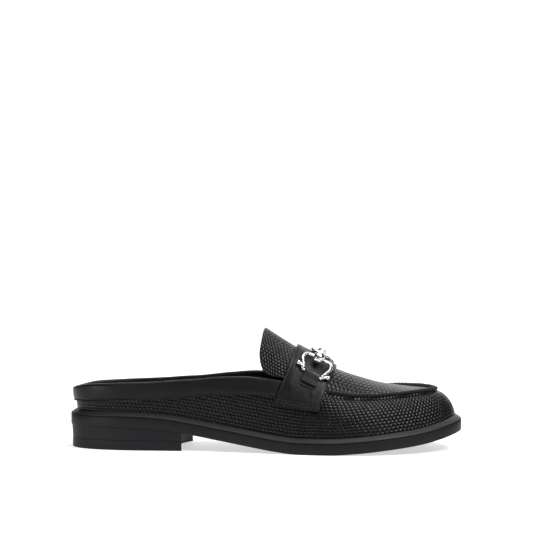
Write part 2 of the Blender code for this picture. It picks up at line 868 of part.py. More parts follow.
def build_link(finish):
    """The centre link: a barrel on each side of the ridge, joined by a bar with an eye on the ridge."""
    middle, lift = BARREL_FROM_RIDGE, GAP + BARREL_RADIUS
    low = GAP + LINK_NECK
    barrel = (
        (1.26, 0.30, lift),
        (1.22, 0.64, lift),
        (1.03, 0.68, lift),
        (0.93, 0.52, lift),
        (0.78, 0.74, lift),
        (0.42, 0.95, lift),
        (0.00, 1.00, lift),
        (-0.42, 0.95, lift),
        (-0.80, 0.72, lift),
        (-1.05, 0.44, lift),
        (-1.60, 0.36, (lift + low) / 2),
        (-2.40, 0.35, low),
    )
    half = [(middle + reach * BARREL_RADIUS, height) for reach, _, height in barrel]
    path = [strap_point(LATERAL, 0.0, down, height) for down, height in half]
    path.append(strap_point(LATERAL, 0.0, 0.0, low))
    path += [strap_point(MEDIAL, 0.0, down, height) for down, height in reversed(half)]
    radii = [share * BARREL_RADIUS for _, share, _ in barrel]
    link = tube("bit_link", path, radii + [LINK_NECK] + radii[::-1], finish, sides=10)
    loop = []
    for k in range(24):
        angle = math.radians(15 * k)
        side = MEDIAL if k < 12 else LATERAL
        ahead, down = EYE_LENGTH / 2 * math.cos(angle), EYE_WIDTH / 2 * abs(math.sin(angle))
        loop.append(strap_point(side, ahead, down, GAP + EYE_RADIUS))
    eye = tube("bit_link_eye", loop, [EYE_RADIUS] * len(loop), finish, sides=8, looped=True)
    return join(link, [eye])


def main():
    """Builds the shoe."""
    for old in list(bpy.data.objects):
        bpy.data.objects.remove(old)
    rubber = material("sole_rubber", (0.030, 0.030, 0.033), 0.55)
    stacked = material("heel_stack", (0.032, 0.031, 0.033), 0.50)
    strip = material("welt_strip", (0.055, 0.055, 0.058), 0.45)
    scaled = material("embossed_leather", (0.020, 0.020, 0.023), 0.42)
    smooth = material("smooth_leather", (0.022, 0.022, 0.024), 0.35)
    lining = material("insole_leather", (0.025, 0.024, 0.025), 0.60)
    polished = material("polished_metal", (0.86, 0.85, 0.82), 0.12, 1.0)
    build_outsole(rubber)
    build_heel(stacked, rubber)
    build_welt(strip)
    build_insole(lining)
    build_upper(scaled)
    build_band(smooth)
    build_tongue(scaled)
    build_strap(smooth)
    build_keeper(LATERAL, "keeper_lateral", smooth)
    build_keeper(MEDIAL, "keeper_medial", smooth)
    build_ring(LATERAL, "bit_ring_lateral", polished)
    build_ring(MEDIAL, "bit_ring_medial", polished)
    build_link(polished)


main()
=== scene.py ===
"""Dresses the right loafer: scaled leather, smooth trims, seams, stitches, sole and ornament.

Metres, +X to the toe, +Y to the inner side of the foot, +Z up, the floor at z = 0.
"""

import logging
import math
from collections.abc import Callable, Sequence
from dataclasses import dataclass, field
from enum import Enum

import bpy
import numpy as np
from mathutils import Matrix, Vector


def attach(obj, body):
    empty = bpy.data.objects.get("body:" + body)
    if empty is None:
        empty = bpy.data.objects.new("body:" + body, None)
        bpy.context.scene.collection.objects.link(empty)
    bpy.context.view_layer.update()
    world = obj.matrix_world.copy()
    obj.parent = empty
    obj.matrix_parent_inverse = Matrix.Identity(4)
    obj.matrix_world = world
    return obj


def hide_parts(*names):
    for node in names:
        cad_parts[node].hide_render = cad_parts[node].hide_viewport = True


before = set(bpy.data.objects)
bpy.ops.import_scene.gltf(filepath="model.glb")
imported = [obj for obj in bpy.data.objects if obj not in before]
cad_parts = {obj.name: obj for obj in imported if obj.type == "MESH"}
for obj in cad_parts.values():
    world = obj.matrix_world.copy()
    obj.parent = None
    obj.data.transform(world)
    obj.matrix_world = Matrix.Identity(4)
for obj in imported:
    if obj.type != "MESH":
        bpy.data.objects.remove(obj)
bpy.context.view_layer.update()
LOG = logging.getLogger("loafer")

Array = np.ndarray
Curve = Callable[[Array], Array]
Surface = Callable[[Array, Array], Array]
Piece = bpy.types.Object


class Side(Enum):
    """The two sides of the right shoe."""

    OUTER = -1
    INNER = 1


# along: share of the length. outer, inner: half widths as shares of the ball width.
OUTLINE = (
    ("along", "outer", "inner"),
    (0.000, 0.000, 0.000), (0.030, 0.205, 0.210), (0.080, 0.290, 0.298), (0.160, 0.335, 0.338),
    (0.260, 0.340, 0.318), (0.360, 0.352, 0.280), (0.460, 0.396, 0.278), (0.560, 0.457, 0.345),
    (0.650, 0.500, 0.437), (0.740, 0.500, 0.490), (0.820, 0.452, 0.492), (0.890, 0.362, 0.440),
    (0.950, 0.240, 0.335), (0.985, 0.120, 0.205), (1.000, -0.040, 0.040),
)
# heel: share of the heel rise. toe: share of the toe spring.
UNDERSIDE = (
    ("along", "heel", "toe"),
    (0.000, 1.000, 0.000), (0.120, 1.000, 0.000), (0.200, 0.965, 0.000), (0.265, 0.875, 0.000),
    (0.330, 0.695, 0.000), (0.395, 0.495, 0.000), (0.483, 0.235, 0.000), (0.540, 0.085, 0.000),
    (0.595, 0.000, 0.000), (0.665, 0.000, 0.000), (0.740, 0.000, 0.090), (0.820, 0.000, 0.260),
    (0.900, 0.000, 0.475), (0.950, 0.000, 0.700), (1.000, 0.000, 1.000),
)
# Topline and apron seam. inward: share of the ball width. forward: share of the length. outer, inner: rise on
# either side, share of the instep height. bulge: how full the wall is below.
RIM = (
    ("along", "inward", "forward", "outer", "inner", "bulge"),
    (0.000, -0.020, 0.000, 0.247, 0.247, 0.00),
    (0.045, -0.017, 0.000, 0.296, 0.286, 0.00),
    (0.113, -0.008, 0.002, 0.317, 0.301, 0.20),
    (0.208, -0.002, 0.004, 0.350, 0.335, 0.30),
    (0.302, 0.005, 0.009, 0.433, 0.421, 0.35),
    (0.392, 0.019, 0.021, 0.553, 0.555, 0.40),
    (0.445, 0.032, 0.032, 0.597, 0.622, 0.50),
    (0.491, 0.045, 0.043, 0.604, 0.646, 0.60),
    (0.558, 0.081, 0.045, 0.592, 0.632, 0.75),
    (0.619, 0.113, 0.042, 0.543, 0.574, 0.85),
    (0.698, 0.143, 0.030, 0.495, 0.528, 0.85),
    (0.774, 0.150, 0.017, 0.458, 0.499, 0.85),
    (0.849, 0.150, 0.006, 0.432, 0.476, 0.85),
    (0.917, 0.146, 0.000, 0.399, 0.430, 0.85),
    (0.970, 0.142, 0.000, 0.350, 0.362, 0.85),
    (1.000, 0.140, 0.000, 0.307, 0.307, 0.85),
)
# Ridge of vamp and tongue over the hoop from along. ridge: share of the length. rise: share of the instep
# height. crown: 0 for a square hoop, 1 for a peak.
RIDGE = (
    ("along", "ridge", "rise", "crown"),
    (0.445, 0.504, 1.211, 0.34), (0.491, 0.587, 0.998, 0.34), (0.558, 0.635, 0.930, 0.38),
    (0.619, 0.679, 0.807, 0.44), (0.698, 0.740, 0.694, 0.50), (0.774, 0.792, 0.591, 0.50),
    (0.849, 0.842, 0.504, 0.50), (0.917, 0.879, 0.428, 0.50), (0.970, 0.900, 0.359, 0.50),
    (1.000, 0.909, 0.304, 0.50),
)
# Width of the topline band, as shares of the instep height.
BAND = (
    ("along", "width"),
    (0.000, 0.140), (0.060, 0.195), (0.150, 0.202), (0.250, 0.215), (0.350, 0.226), (0.440, 0.238),
    (0.510, 0.240),
)
# The strap's back and front edges at a place in the hoop, as shares of the length.
STRAP = (
    ("place", "back", "front"),
    (0.440, 0.5028, 0.6178), (0.800, 0.5026, 0.6140), (1.000, 0.5025, 0.6122), (1.200, 0.4976, 0.6147),
    (1.400, 0.4930, 0.6181), (1.600, 0.4903, 0.6211), (2.000, 0.4869, 0.6231),
)

# Each soft light's name, place, size and power.
LIGHTS = (
    ("overhead", (-0.05, 0.05, 1.20), (1.10, 0.90), 8.0),
    ("front_right", (0.58, -0.44, 0.94), (0.34, 0.66), 16.0),
    ("front_high", (0.05, -0.90, 0.88), (0.30, 0.16), 1.0),
    ("heel_side", (-0.95, -0.85, 0.09), (0.30, 0.14), 3.5),
    ("back_top", (0.30, 0.90, 0.85), (0.80, 0.50), 3.5),
    ("backdrop", (0.0, 1.20, 0.35), (1.60, 0.50), 4.0),
)


def steady(xs: Array, ys: Array) -> Curve:
    """Makes a curve through points that never swings past them.

    Args:
        xs: Rising places of the points.
        ys: Their values.

    Returns:
        The curve, for an array of places.
    """
    steps = np.diff(xs)
    slopes = np.diff(ys) / steps
    inner = [
        0.0 if a * b <= 0 else 3 * (p + q) / ((2 * q + p) / a + (q + 2 * p) / b)
        for a, b, p, q in zip(slopes, slopes[1:], steps, steps[1:])
    ]
    ends = np.array([slopes[0], *inner, slopes[-1]])

    def read(x: Array) -> Array:
        """Reads the curve.

        Args:
            x: Places.

        Returns:
            A value for each.
        """
        i = np.clip(np.searchsorted(xs, x) - 1, 0, len(steps) - 1)
        f = (x - xs[i]) / steps[i]
        bend = steps[i] * (f * (1 - f) ** 2 * ends[i] - f * f * (1 - f) * ends[i + 1])
        return ys[i] + (ys[i + 1] - ys[i]) * f * f * (3 - 2 * f) + bend

    return read


def flowing(xs: Array, ys: Array) -> Curve:
    """Makes the curve of even bend through points.

    Args:
        xs: Rising places of the points.
        ys: Their values.

    Returns:
        The curve, for an array of places.
    """
    steps = np.diff(xs)
    count = len(xs)
    matrix, right = np.eye(count), np.zeros(count)
    for i in range(1, count - 1):
        matrix[i, i - 1 : i + 2] = steps[i - 1], 2 * (steps[i - 1] + steps[i]), steps[i]
        right[i] = 6 * ((ys[i + 1] - ys[i]) / steps[i] - (ys[i] - ys[i - 1]) / steps[i - 1])
    bends = np.linalg.solve(matrix, right)

    def read(x: Array) -> Array:
        """Reads the curve.

        Args:
            x: Places.

        Returns:
            A value for each.
        """
        i = np.clip(np.searchsorted(xs, x) - 1, 0, count - 2)
        a = (xs[i + 1] - x) / steps[i]
        b = 1 - a
        ease = (a**3 - a) * bends[i] + (b**3 - b) * bends[i + 1]
        return a * ys[i] + b * ys[i + 1] + ease * steps[i] ** 2 / 6

    return read


def columns(table: Sequence[tuple]) -> dict[str, Curve]:
    """Makes a steady curve of each column of a table after its first."""
    rows = np.array(table[1:], float).T
    return {name: steady(rows[0], row) for name, row in zip(table[0][1:], rows[1:])}


def turn_at(along: Array | float) -> Array:
    """Gives the turn, 0 at the heel and 1 at the toe, of a share of the length."""
    return np.arccos(1 - 2 * np.asarray(along)) / np.pi


def along_at(turn: Array) -> Array:
    """Gives the share of the length at a signed turn."""
    return (1 - np.cos(np.pi * np.abs(turn))) / 2


def unit(vectors: Array) -> Array:
    """Gives the vectors one long."""
    return vectors / np.maximum(np.linalg.norm(vectors, axis=-1, keepdims=True), 1e-12)


def smooth(x: Array) -> Array:
    """Eases from 0 to 1 between 0 and 1."""
    x = np.clip(x, 0.0, 1.0)
    return x * x * (3 - 2 * x)


def run_along(points: Array) -> Array:
    """Gives the length from the first of some points to each of them."""
    return np.concatenate([[0.0], np.cumsum(np.linalg.norm(np.diff(points, axis=0), axis=1))])


def trough(distance: Array, width: float) -> Array:
    """Gives a soft bell, 1 at no distance and falling off over a width."""
    return np.exp(-((distance / width) ** 2))


def over(base: Curve, height: float) -> Curve:
    """Gives a curve of heights over another."""
    return lambda along: base(along) + height


def shaded(tone: tuple, share: float) -> tuple:
    """Gives a colour made darker or lighter."""
    return tuple(share * channel for channel in tone)


@dataclass
class Last:
    """The surface of the last, and the outline of the sole.

    A signed turn runs from -1 at the toe over the outer side to 0 at the heel, and over the inner side to
    1 at the toe. A place is 0 at the feather line, 1 at the topline or apron seam, and 2 at the ridge.
    """

    length: float = 0.265
    ball_width: float = 0.093
    instep_height: float = 0.054
    heel_rise: float = 0.0151
    toe_spring: float = 0.0126
    sole: float = 0.0070
    welt_edge: float = 0.0010
    welt_rise: float = 0.0024
    welt_margin: float = 0.0042
    gap: float = 0.0003
    curve: dict[str, Curve] = field(default_factory=dict)

    def __post_init__(self) -> None:
        """Makes the curves of the tables."""
        for table in (UNDERSIDE, RIM, BAND):
            self.curve |= columns(table)
        for start, table in (("ridge", RIDGE), ("strap", STRAP)):
            self.curve |= {f"{start}_{name}": curve for name, curve in columns(table).items()}
        around = [(-turn_at(along), -outer) for along, outer, _ in OUTLINE[2:]]
        around += [(turn_at(along), inner) for along, _, inner in OUTLINE[1:]]
        around.append((-1.0, -OUTLINE[-1][1]))
        around = sorted(set(around))
        before = [(turn - 2, width) for turn, width in around[-4:-1]]
        after = [(turn + 2, width) for turn, width in around[1:4]]
        xs, ys = np.array(before + around + after).T
        self.curve["side"] = flowing(xs, ys)
        widths = self.curve["side"](np.linspace(-1, 1, 401))
        self.middle = (widths.min() + widths.max()) / 2

    def edge(self, turn: Array) -> Array:
        """Gives the outline in plan."""
        x = (along_at(turn) - 0.5) * self.length
        return np.stack([x, (self.curve["side"](turn) - self.middle) * self.ball_width], -1)

    def inward(self, turn: Array) -> Array:
        """Gives the directions in plan that point into the outline.

        Args:
            turn: Signed turns.

        Returns:
            A direction for each.
        """
        step = 1e-4
        ahead = self.edge(np.minimum(turn + step, 1)) - self.edge(np.maximum(turn - step, -1))
        tip = self.edge(np.array([-1 + step])) - self.edge(np.array([1 - step]))
        ahead = np.where((np.abs(turn) > 1 - step)[:, None], tip, ahead)
        return unit(np.stack([ahead[:, 1], -ahead[:, 0]], -1))

    def inset(self, turn: Array, distance: Array | float) -> Array:
        """Gives the outline moved inwards."""
        return self.edge(turn) + self.inward(turn) * np.reshape(distance, (-1, 1))

    def underside(self, along: Array) -> Array:
        """Gives the height of the outsole's underside."""
        return self.curve["heel"](along) * self.heel_rise + self.curve["toe"](along) * self.toe_spring

    def welt_top(self, along: Array) -> Array:
        """Gives the height of the ledge that the upper stands on."""
        return self.underside(along) + self.sole + self.welt_edge + self.welt_rise

    def feather(self, turn: Array) -> Array:
        """Gives the foot of the upper's outer face."""
        foot = self.inset(turn, self.welt_margin)
        return np.column_stack([foot, self.welt_top(along_at(turn)) + self.gap])

    def rim(self, turn: Array) -> Array:
        """Gives the topline or apron seam.

        Args:
            turn: Signed turns.

        Returns:
            A point for each.
        """
        along = along_at(turn)
        x, y = self.inset(turn, self.welt_margin + self.curve["inward"](along) * self.ball_width).T
        rise = np.where(turn < 0, self.curve["outer"](along), self.curve["inner"](along))
        z = self.welt_top(along) + rise * self.instep_height
        return np.stack([x + self.curve["forward"](along) * self.length, y, z], -1)

    def ridge(self, turn: Array) -> Array:
        """Gives the middle of the hoop over a turn.

        Args:
            turn: Signed turns.

        Returns:
            A point for each.
        """
        along = along_at(turn)
        x = (self.curve["ridge_ridge"](along) - 0.5) * self.length
        y = (self.rim(turn)[:, 1] + self.rim(-turn)[:, 1]) / 2
        z = self.welt_top(along) + self.curve["ridge_rise"](along) * self.instep_height
        return np.stack([x, y, z], -1)

    def pull(self, low: Array, high: Array, level: Array, upright: Array, turn: Array) -> Array:
        """Gives the points that bend the way from low to high: shares moved in plan and upwards.

        Args:
            low: Where the ways start.
            high: Where they end.
            level: Shares moved in plan.
            upright: Shares moved upwards.
            turn: Signed turns.

        Returns:
            A point for each way.
        """
        lean = self.inward(turn)[:, 1] ** 2
        along = level * (1 - lean) + upright * lean
        return low + (high - low) * np.stack([along, level, upright], -1)

    def skin(self, turn: Array, place: Array) -> Array:
        """Gives points of the upper's outer face.

        Args:
            turn: Signed turns.
            place: Places up the hoop.

        Returns:
            A point for each.
        """
        along = along_at(turn)
        low, seam, top = self.feather(turn), self.rim(turn), self.ridge(turn)
        bulge = self.curve["bulge"](along)
        lower = self.pull(low, seam, 0.5 - 0.38 * bulge, 0.5 + 0.27 * bulge, turn)
        upper = self.pull(seam, top, self.curve["ridge_crown"](along), np.ones_like(along), turn)
        wall = (place <= 1)[:, None]
        f = np.where(place <= 1, place, place - 1)[:, None]
        start, bend, end = np.where(wall, low, seam), np.where(wall, lower, upper), np.where(wall, seam, top)
        return start * (1 - f) ** 2 + bend * 2 * f * (1 - f) + end * f * f

    def normal(self, turn: Array, place: Array) -> Array:
        """Gives the outward directions of the upper's outer face.

        Args:
            turn: Signed turns.
            place: Places up the hoop.

        Returns:
            A direction for each.
        """
        step = 1e-3
        size = np.clip(np.abs(turn), 1e-6, 1.0)
        both = np.zeros((len(turn), 3))
        for side in (-1.0, 1.0):
            front = self.skin(side * np.minimum(size + step, 1), place)
            ahead = front - self.skin(side * (size - step), place)
            low = np.where(place <= 1, np.maximum(place - step, 0), place - step)
            high = np.where(place <= 1, np.minimum(place + step, 1), place)
            up = self.skin(side * size, high) - self.skin(side * size, low)
            own = (np.sign(turn + 1e-12) == side) | (size > 1 - 1e-6) | (size < 1e-5)
            both += np.where(own[:, None], unit(np.cross(up, ahead) * side), 0.0)
        crest = self.ridge(np.minimum(size + step, 1)) - self.ridge(size - step)
        crown = np.stack([-crest[:, 2], np.zeros(len(turn)), crest[:, 0]], -1)
        return unit(np.where((place > 2 - step)[:, None], crown, both))

    def proud(self, turn: Array, place: Array, height: Array | float) -> Array:
        """Gives points at a height over the upper's outer face."""
        turn, place, height = np.broadcast_arrays(turn, place, height)
        return self.skin(turn, place) + self.normal(turn, place) * height[..., None]


def placed(name: str, data: bpy.types.ID) -> Piece:
    """Puts data into the scene as an object at the origin.

    Args:
        name: Its name.
        data: Its mesh, light or camera.

    Returns:
        The object.
    """
    thing = bpy.data.objects.new(name, data)
    bpy.context.scene.collection.objects.link(thing)
    return thing


def deselect() -> None:
    """Leaves nothing selected."""
    bpy.ops.object.select_all(action="DESELECT")


def hold(piece: Piece) -> None:
    """Makes a piece the only one selected, and the active one.

    Args:
        piece: The piece.
    """
    deselect()
    piece.select_set(True)
    bpy.context.view_layer.objects.active = piece


def edit(piece: Piece, *steps: Callable[[], object]) -> None:
    """Runs edit-mode steps on all of a piece.

    Args:
        piece: The piece.
        steps: The steps, in order.
    """
    hold(piece)
    bpy.ops.object.mode_set(mode="EDIT")
    bpy.ops.mesh.select_all(action="SELECT")
    for step in steps:
        step()
    bpy.ops.object.mode_set(mode="OBJECT")


def apply(piece: Piece, kind: str, **settings: object) -> None:
    """Adds a modifier with these settings to a piece and applies it.

    Args:
        piece: The piece.
        kind: The modifier's type.
        settings: Its properties.
    """
    hold(piece)
    modifier = piece.modifiers.new(kind.lower(), kind)
    for name, value in settings.items():
        setattr(modifier, name, value)
    bpy.ops.object.modifier_apply(modifier=modifier.name)


def weld(piece: Piece, distance: float = 2e-6) -> None:
    """Joins the points of a piece that meet."""
    edit(piece, lambda: bpy.ops.mesh.remove_doubles(threshold=distance))


def outward_faces(piece: Piece) -> None:
    """Turns the faces of a closed piece outwards."""
    edit(piece, lambda: bpy.ops.mesh.normals_make_consistent(inside=False))


def bevel(piece: Piece, width: float, degrees: float) -> None:
    """Rounds the edges of a piece that are sharper than an angle."""
    apply(piece, "BEVEL", width=width, segments=2, limit_method="ANGLE", angle_limit=math.radians(degrees))


def cap(piece: Piece, *more: Callable[[], object]) -> None:
    """Closes a piece's open ends with flat faces.

    Args:
        piece: The piece.
        more: Further edit-mode steps on the new faces.
    """
    edit(
        piece,
        lambda: bpy.ops.mesh.select_all(action="DESELECT"),
        bpy.ops.mesh.select_non_manifold,
        bpy.ops.mesh.edge_face_add,
        *more,
    )
    outward_faces(piece)


def dress(piece: Piece, sharp: float, finish: tuple, *nodes: str) -> None:
    """Gives a finished piece its shading, its materials and its body, and hides the CAD nodes that it stands
    for.

    Args:
        piece: The finished piece.
        sharp: The angle in degrees from which its edges stay sharp.
        finish: The record's slot, and its materials in order.
        nodes: The CAD nodes that it replaces.
    """
    hold(piece)
    bpy.ops.object.shade_smooth_by_angle(angle=math.radians(sharp))
    piece.data.materials.clear()
    for material in finish[1:]:
        piece.data.materials.append(material)
    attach(piece, "root")
    if nodes:
        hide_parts(*nodes)
    LOG.info("%s: %d faces", piece.name, len(piece.data.polygons))


@dataclass
class Sheet:
    """A grid that is carried onto a surface, with its real lengths as UVs.

    Its first share runs along, its second up, and its front is where along, up and outwards are
    right-handed.
    """

    name: str
    along: int
    up: int
    zero: float = 0.0
    closed: bool = False
    scale: tuple = (1.0, 1.0)

    def lay(self, shape: Surface) -> Piece:
        """Makes the grid and carries it onto the surface.

        Args:
            shape: Gives points for two equal arrays of shares.

        Returns:
            The open sheet.
        """
        deselect()
        bpy.ops.mesh.primitive_grid_add(x_subdivisions=self.along, y_subdivisions=self.up, size=2.0)
        piece = bpy.context.object
        piece.name = piece.data.name = self.name
        mesh = piece.data
        flat = np.empty(len(mesh.vertices) * 3)
        mesh.vertices.foreach_get("co", flat)
        i, j = np.rint((flat.reshape(-1, 3)[:, :2].T + 1) / 2 * [[self.along], [self.up]]).astype(int)
        points = shape(i / self.along, j / self.up)
        mesh.vertices.foreach_set("co", points.ravel())
        grid = np.empty((self.up + 1, self.along + 1, 3))
        grid[j, i] = points
        zero = round(self.zero * self.up)
        run = np.linalg.norm(np.diff(grid, axis=1), axis=-1)[self.up // 2 if zero == 0 else zero]
        rise = np.cumsum(np.linalg.norm(np.diff(grid, axis=0), axis=-1), axis=0)
        rise = np.vstack([np.zeros((1, self.along + 1)), rise])
        lengths = np.zeros((self.up + 1, self.along + 1, 2))
        lengths[:, 1:, 0] = np.cumsum(run)
        lengths[:, :, 1] = rise - rise[zero]
        corner = np.empty(len(mesh.loops), int)
        mesh.loops.foreach_get("vertex_index", corner)
        layer = mesh.uv_layers[0]
        layer.name = "leather"
        layer.data.foreach_set("uv", (lengths[j, i][corner] * self.scale).ravel())
        mesh.update()
        if self.closed:
            weld(piece)
        return piece


def woven(rows: Array) -> Surface:
    """Gives the surface through rows of points that close on themselves.

    Args:
        rows: An array of rows, of points round each, of coordinates.

    Returns:
        The surface, by shares over the rows and round them.
    """
    count, around = rows.shape[:2]
    return lambda s, t: rows[np.rint(s * (count - 1)).astype(int), np.rint(t * around).astype(int) % around]


@dataclass
class Roll:
    """A rod, cord or folded strip: sections of one shape that follow a path."""

    name: str
    looped: bool = False

    def sweep(self, sections: Array) -> Piece:
        """Makes a skin over sections.

        Args:
            sections: Points as an array of sections, of points round each, of coordinates.

        Returns:
            The closed piece, with its real lengths as UVs.
        """
        if self.looped:
            sections = np.concatenate([sections, sections[:1]])
        count, around = sections.shape[:2]
        piece = Sheet(self.name, count - 1, around, closed=True).lay(woven(sections))
        if self.looped:
            outward_faces(piece)
        else:
            cap(piece)
        return piece


def rod(name: str, path: Array, radii: Array, sides: int = 16, looped: bool = False) -> Piece:
    """Makes a round rod of changing radius.

    Args:
        name: The piece's name.
        path: Points of its centre line.
        radii: Its radius at each.
        sides: Faces round it.
        looped: Whether its two ends meet.

    Returns:
        The closed rod.
    """
    steps = np.roll(path, -1, axis=0) - np.roll(path, 1, axis=0) if looped else np.gradient(path, axis=0)
    ahead = unit(steps)
    across = np.array([0.0, 0.0, 1.0])
    angles = np.arange(sides) * 2 * np.pi / sides
    sections = []
    for point, way, radius in zip(path, ahead, radii):
        across = unit(across - way * across.dot(way))
        other = np.cross(way, across)
        turn = np.outer(np.cos(angles), across) + np.outer(np.sin(angles), other)
        sections.append(point + turn * radius)
    return Roll(name, looped).sweep(np.array(sections))


def through(points: Array, count: int) -> Array:
    """Gives evenly spaced points on the smooth curve through points.

    Args:
        points: The points.
        count: How many to give.

    Returns:
        Points of the curve.
    """
    points = np.asarray(points, float)
    run = run_along(points)
    fine = np.linspace(0, run[-1], count * 4)
    curve = np.stack([flowing(run, column)(fine) for column in points.T], -1)
    length = run_along(curve)
    even = np.linspace(0, length[-1], count)
    return np.stack([np.interp(even, length, column) for column in curve.T], -1)


@dataclass
class Stitches:
    """A row of stitches: one thread lozenge, modelled once and copied along a line."""

    pitch: float = 0.0022
    length: float = 0.0015
    width: float = 0.00045
    rise: float = 0.0003
    across: bool = False

    def sew(self, name: str, lines: Sequence[tuple[Array, Array]]) -> Piece:
        """Makes rows of stitches.

        Args:
            name: The piece's name.
            lines: For each row, points along it and the outward directions there.

        Returns:
            All the stitches as one piece.
        """
        deselect()
        bpy.ops.mesh.primitive_uv_sphere_add(segments=8, ring_count=6, radius=1.0)
        first = bpy.context.object
        edit(first, lambda: bpy.ops.transform.resize(value=(self.length / 2, self.width / 2, self.rise)))
        form = np.array([v.co for v in first.data.vertices])
        faces = [tuple(p.vertices) for p in first.data.polygons]
        bpy.data.objects.remove(first)
        points, rings, count = [], [], 0
        for line, outward in lines:
            run = run_along(line)
            number = max(int(run[-1] / self.pitch), 1)
            for k in range(number):
                place = (k + 0.5) * run[-1] / number
                middle, up = (np.array([np.interp(place, run, c) for c in a.T]) for a in (line, outward))
                ends = [np.array([np.interp(place + d, run, c) for c in line.T]) for d in (-5e-4, 5e-4)]
                way, up = unit(ends[1] - ends[0]), unit(up)
                side = np.cross(up, way)
                if self.across:
                    way, side = side, way
                points.append(middle + form @ np.array([way, side, np.cross(way, side)]))
                rings += [tuple(index + count for index in face) for face in faces]
                count += len(form)
        mesh = bpy.data.meshes.new(name)
        mesh.from_pydata(np.vstack(points).tolist(), [], rings)
        mesh.update()
        piece = placed(name, mesh)
        outward_faces(piece)
        return piece


@dataclass
class Wiring:
    """Builds one material's nodes."""

    name: str

    def __post_init__(self) -> None:
        """Starts the material with its shader."""
        self.made = bpy.data.materials.new(self.name)
        self.made.use_nodes = True
        self.tree = self.made.node_tree
        self.shader = self.tree.nodes["Principled BSDF"]

    def add(self, kind: str, *values: object, **settings: object) -> bpy.types.NodeSocket:
        """Adds a node.

        Args:
            kind: The node's type, without its ShaderNode.
            values: A constant or a socket for each input in order, None to leave one as it is.
            settings: Its own properties.

        Returns:
            Its first output.
        """
        node = self.tree.nodes.new("ShaderNode" + kind)
        for name, value in settings.items():
            setattr(node, name, value)
        self.feed(node, dict(enumerate(values)))
        return node.outputs[0]

    def feed(self, node: bpy.types.Node, values: dict) -> None:
        """Sets or links inputs of a node by name or number.

        Args:
            node: The node.
            values: Constants or sockets by input.
        """
        for name, value in values.items():
            if isinstance(value, bpy.types.NodeSocket):
                self.tree.links.new(value, node.inputs[name])
            elif value is not None:
                node.inputs[name].default_value = value

    def sum(self, kind: str, *values: object) -> bpy.types.NodeSocket:
        """Adds a Math node."""
        return self.add("Math", *values, operation=kind)

    def uv(self) -> bpy.types.NodeSocket:
        """Reads the real lengths along and up the piece, in metres."""
        return self.add("UVMap", uv_map="leather")

    def object(self) -> bpy.types.NodeSocket:
        """Reads the place in the shoe, in metres."""
        node = self.tree.nodes.new("ShaderNodeTexCoord")
        return node.outputs["Object"]

    def noise(self, place: object, size: float, detail: float = 2.0) -> bpy.types.NodeSocket:
        """Adds soft noise with features of this size, in metres.

        Args:
            place: Where it is read.
            size: The size of its features, in metres.
            detail: How fine it is.

        Returns:
            Its output, from 0 to 1.
        """
        node = self.tree.nodes.new("ShaderNodeTexNoise")
        self.feed(node, {"Vector": place, "Scale": 1 / size, "Detail": detail})
        return node.outputs["Fac"]

    def blend(self, share: object, low: tuple, high: tuple) -> bpy.types.NodeSocket:
        """Mixes two colours.

        Args:
            share: 0 for low to 1 for high.
            low: A colour or socket.
            high: Another.

        Returns:
            The mix.
        """
        node = self.tree.nodes.new("ShaderNodeMix")
        node.data_type = "RGBA"
        self.feed(node, {0: share, 6: (*low, 1.0) if isinstance(low, tuple) else low})
        self.feed(node, {7: (*high, 1.0) if isinstance(high, tuple) else high})
        return node.outputs[2]

    def part(self, place: object, axis: int) -> bpy.types.NodeSocket:
        """Gives one coordinate of a place.

        Args:
            place: The place.
            axis: 0, 1 or 2.

        Returns:
            The coordinate's socket.
        """
        node = self.tree.nodes.new("ShaderNodeSeparateXYZ")
        self.feed(node, {0: place})
        return node.outputs[axis]

    def span(self, value: object, low: float, high: float, start: float = 0, end: float = 1) -> object:
        """Maps a value smoothly from one range to another."""
        return self.add("MapRange", value, start, end, low, high, interpolation_type="SMOOTHSTEP")

    def relief(self, height: object, depth: float) -> bpy.types.NodeSocket:
        """Gives the directions of a face with a relief this deep, in metres.

        Args:
            height: The relief, from 0 to 1.
            depth: How deep it is, in metres.

        Returns:
            Their socket.
        """
        node = self.tree.nodes.new("ShaderNodeBump")
        self.feed(node, {"Height": height, "Distance": depth, "Strength": 1.0})
        return node.outputs[0]

    def finish(self, colour: object, rough: object, **inputs: object) -> bpy.types.Material:
        """Feeds the shader.

        Args:
            colour: Its colour.
            rough: Its roughness.
            inputs: Further shader inputs by name, with underscores for spaces.

        Returns:
            The material.
        """
        inputs |= {"Base_Color": colour, "Roughness": rough}
        self.feed(self.shader, {name.replace("_", " "): value for name, value in inputs.items()})
        return self.made


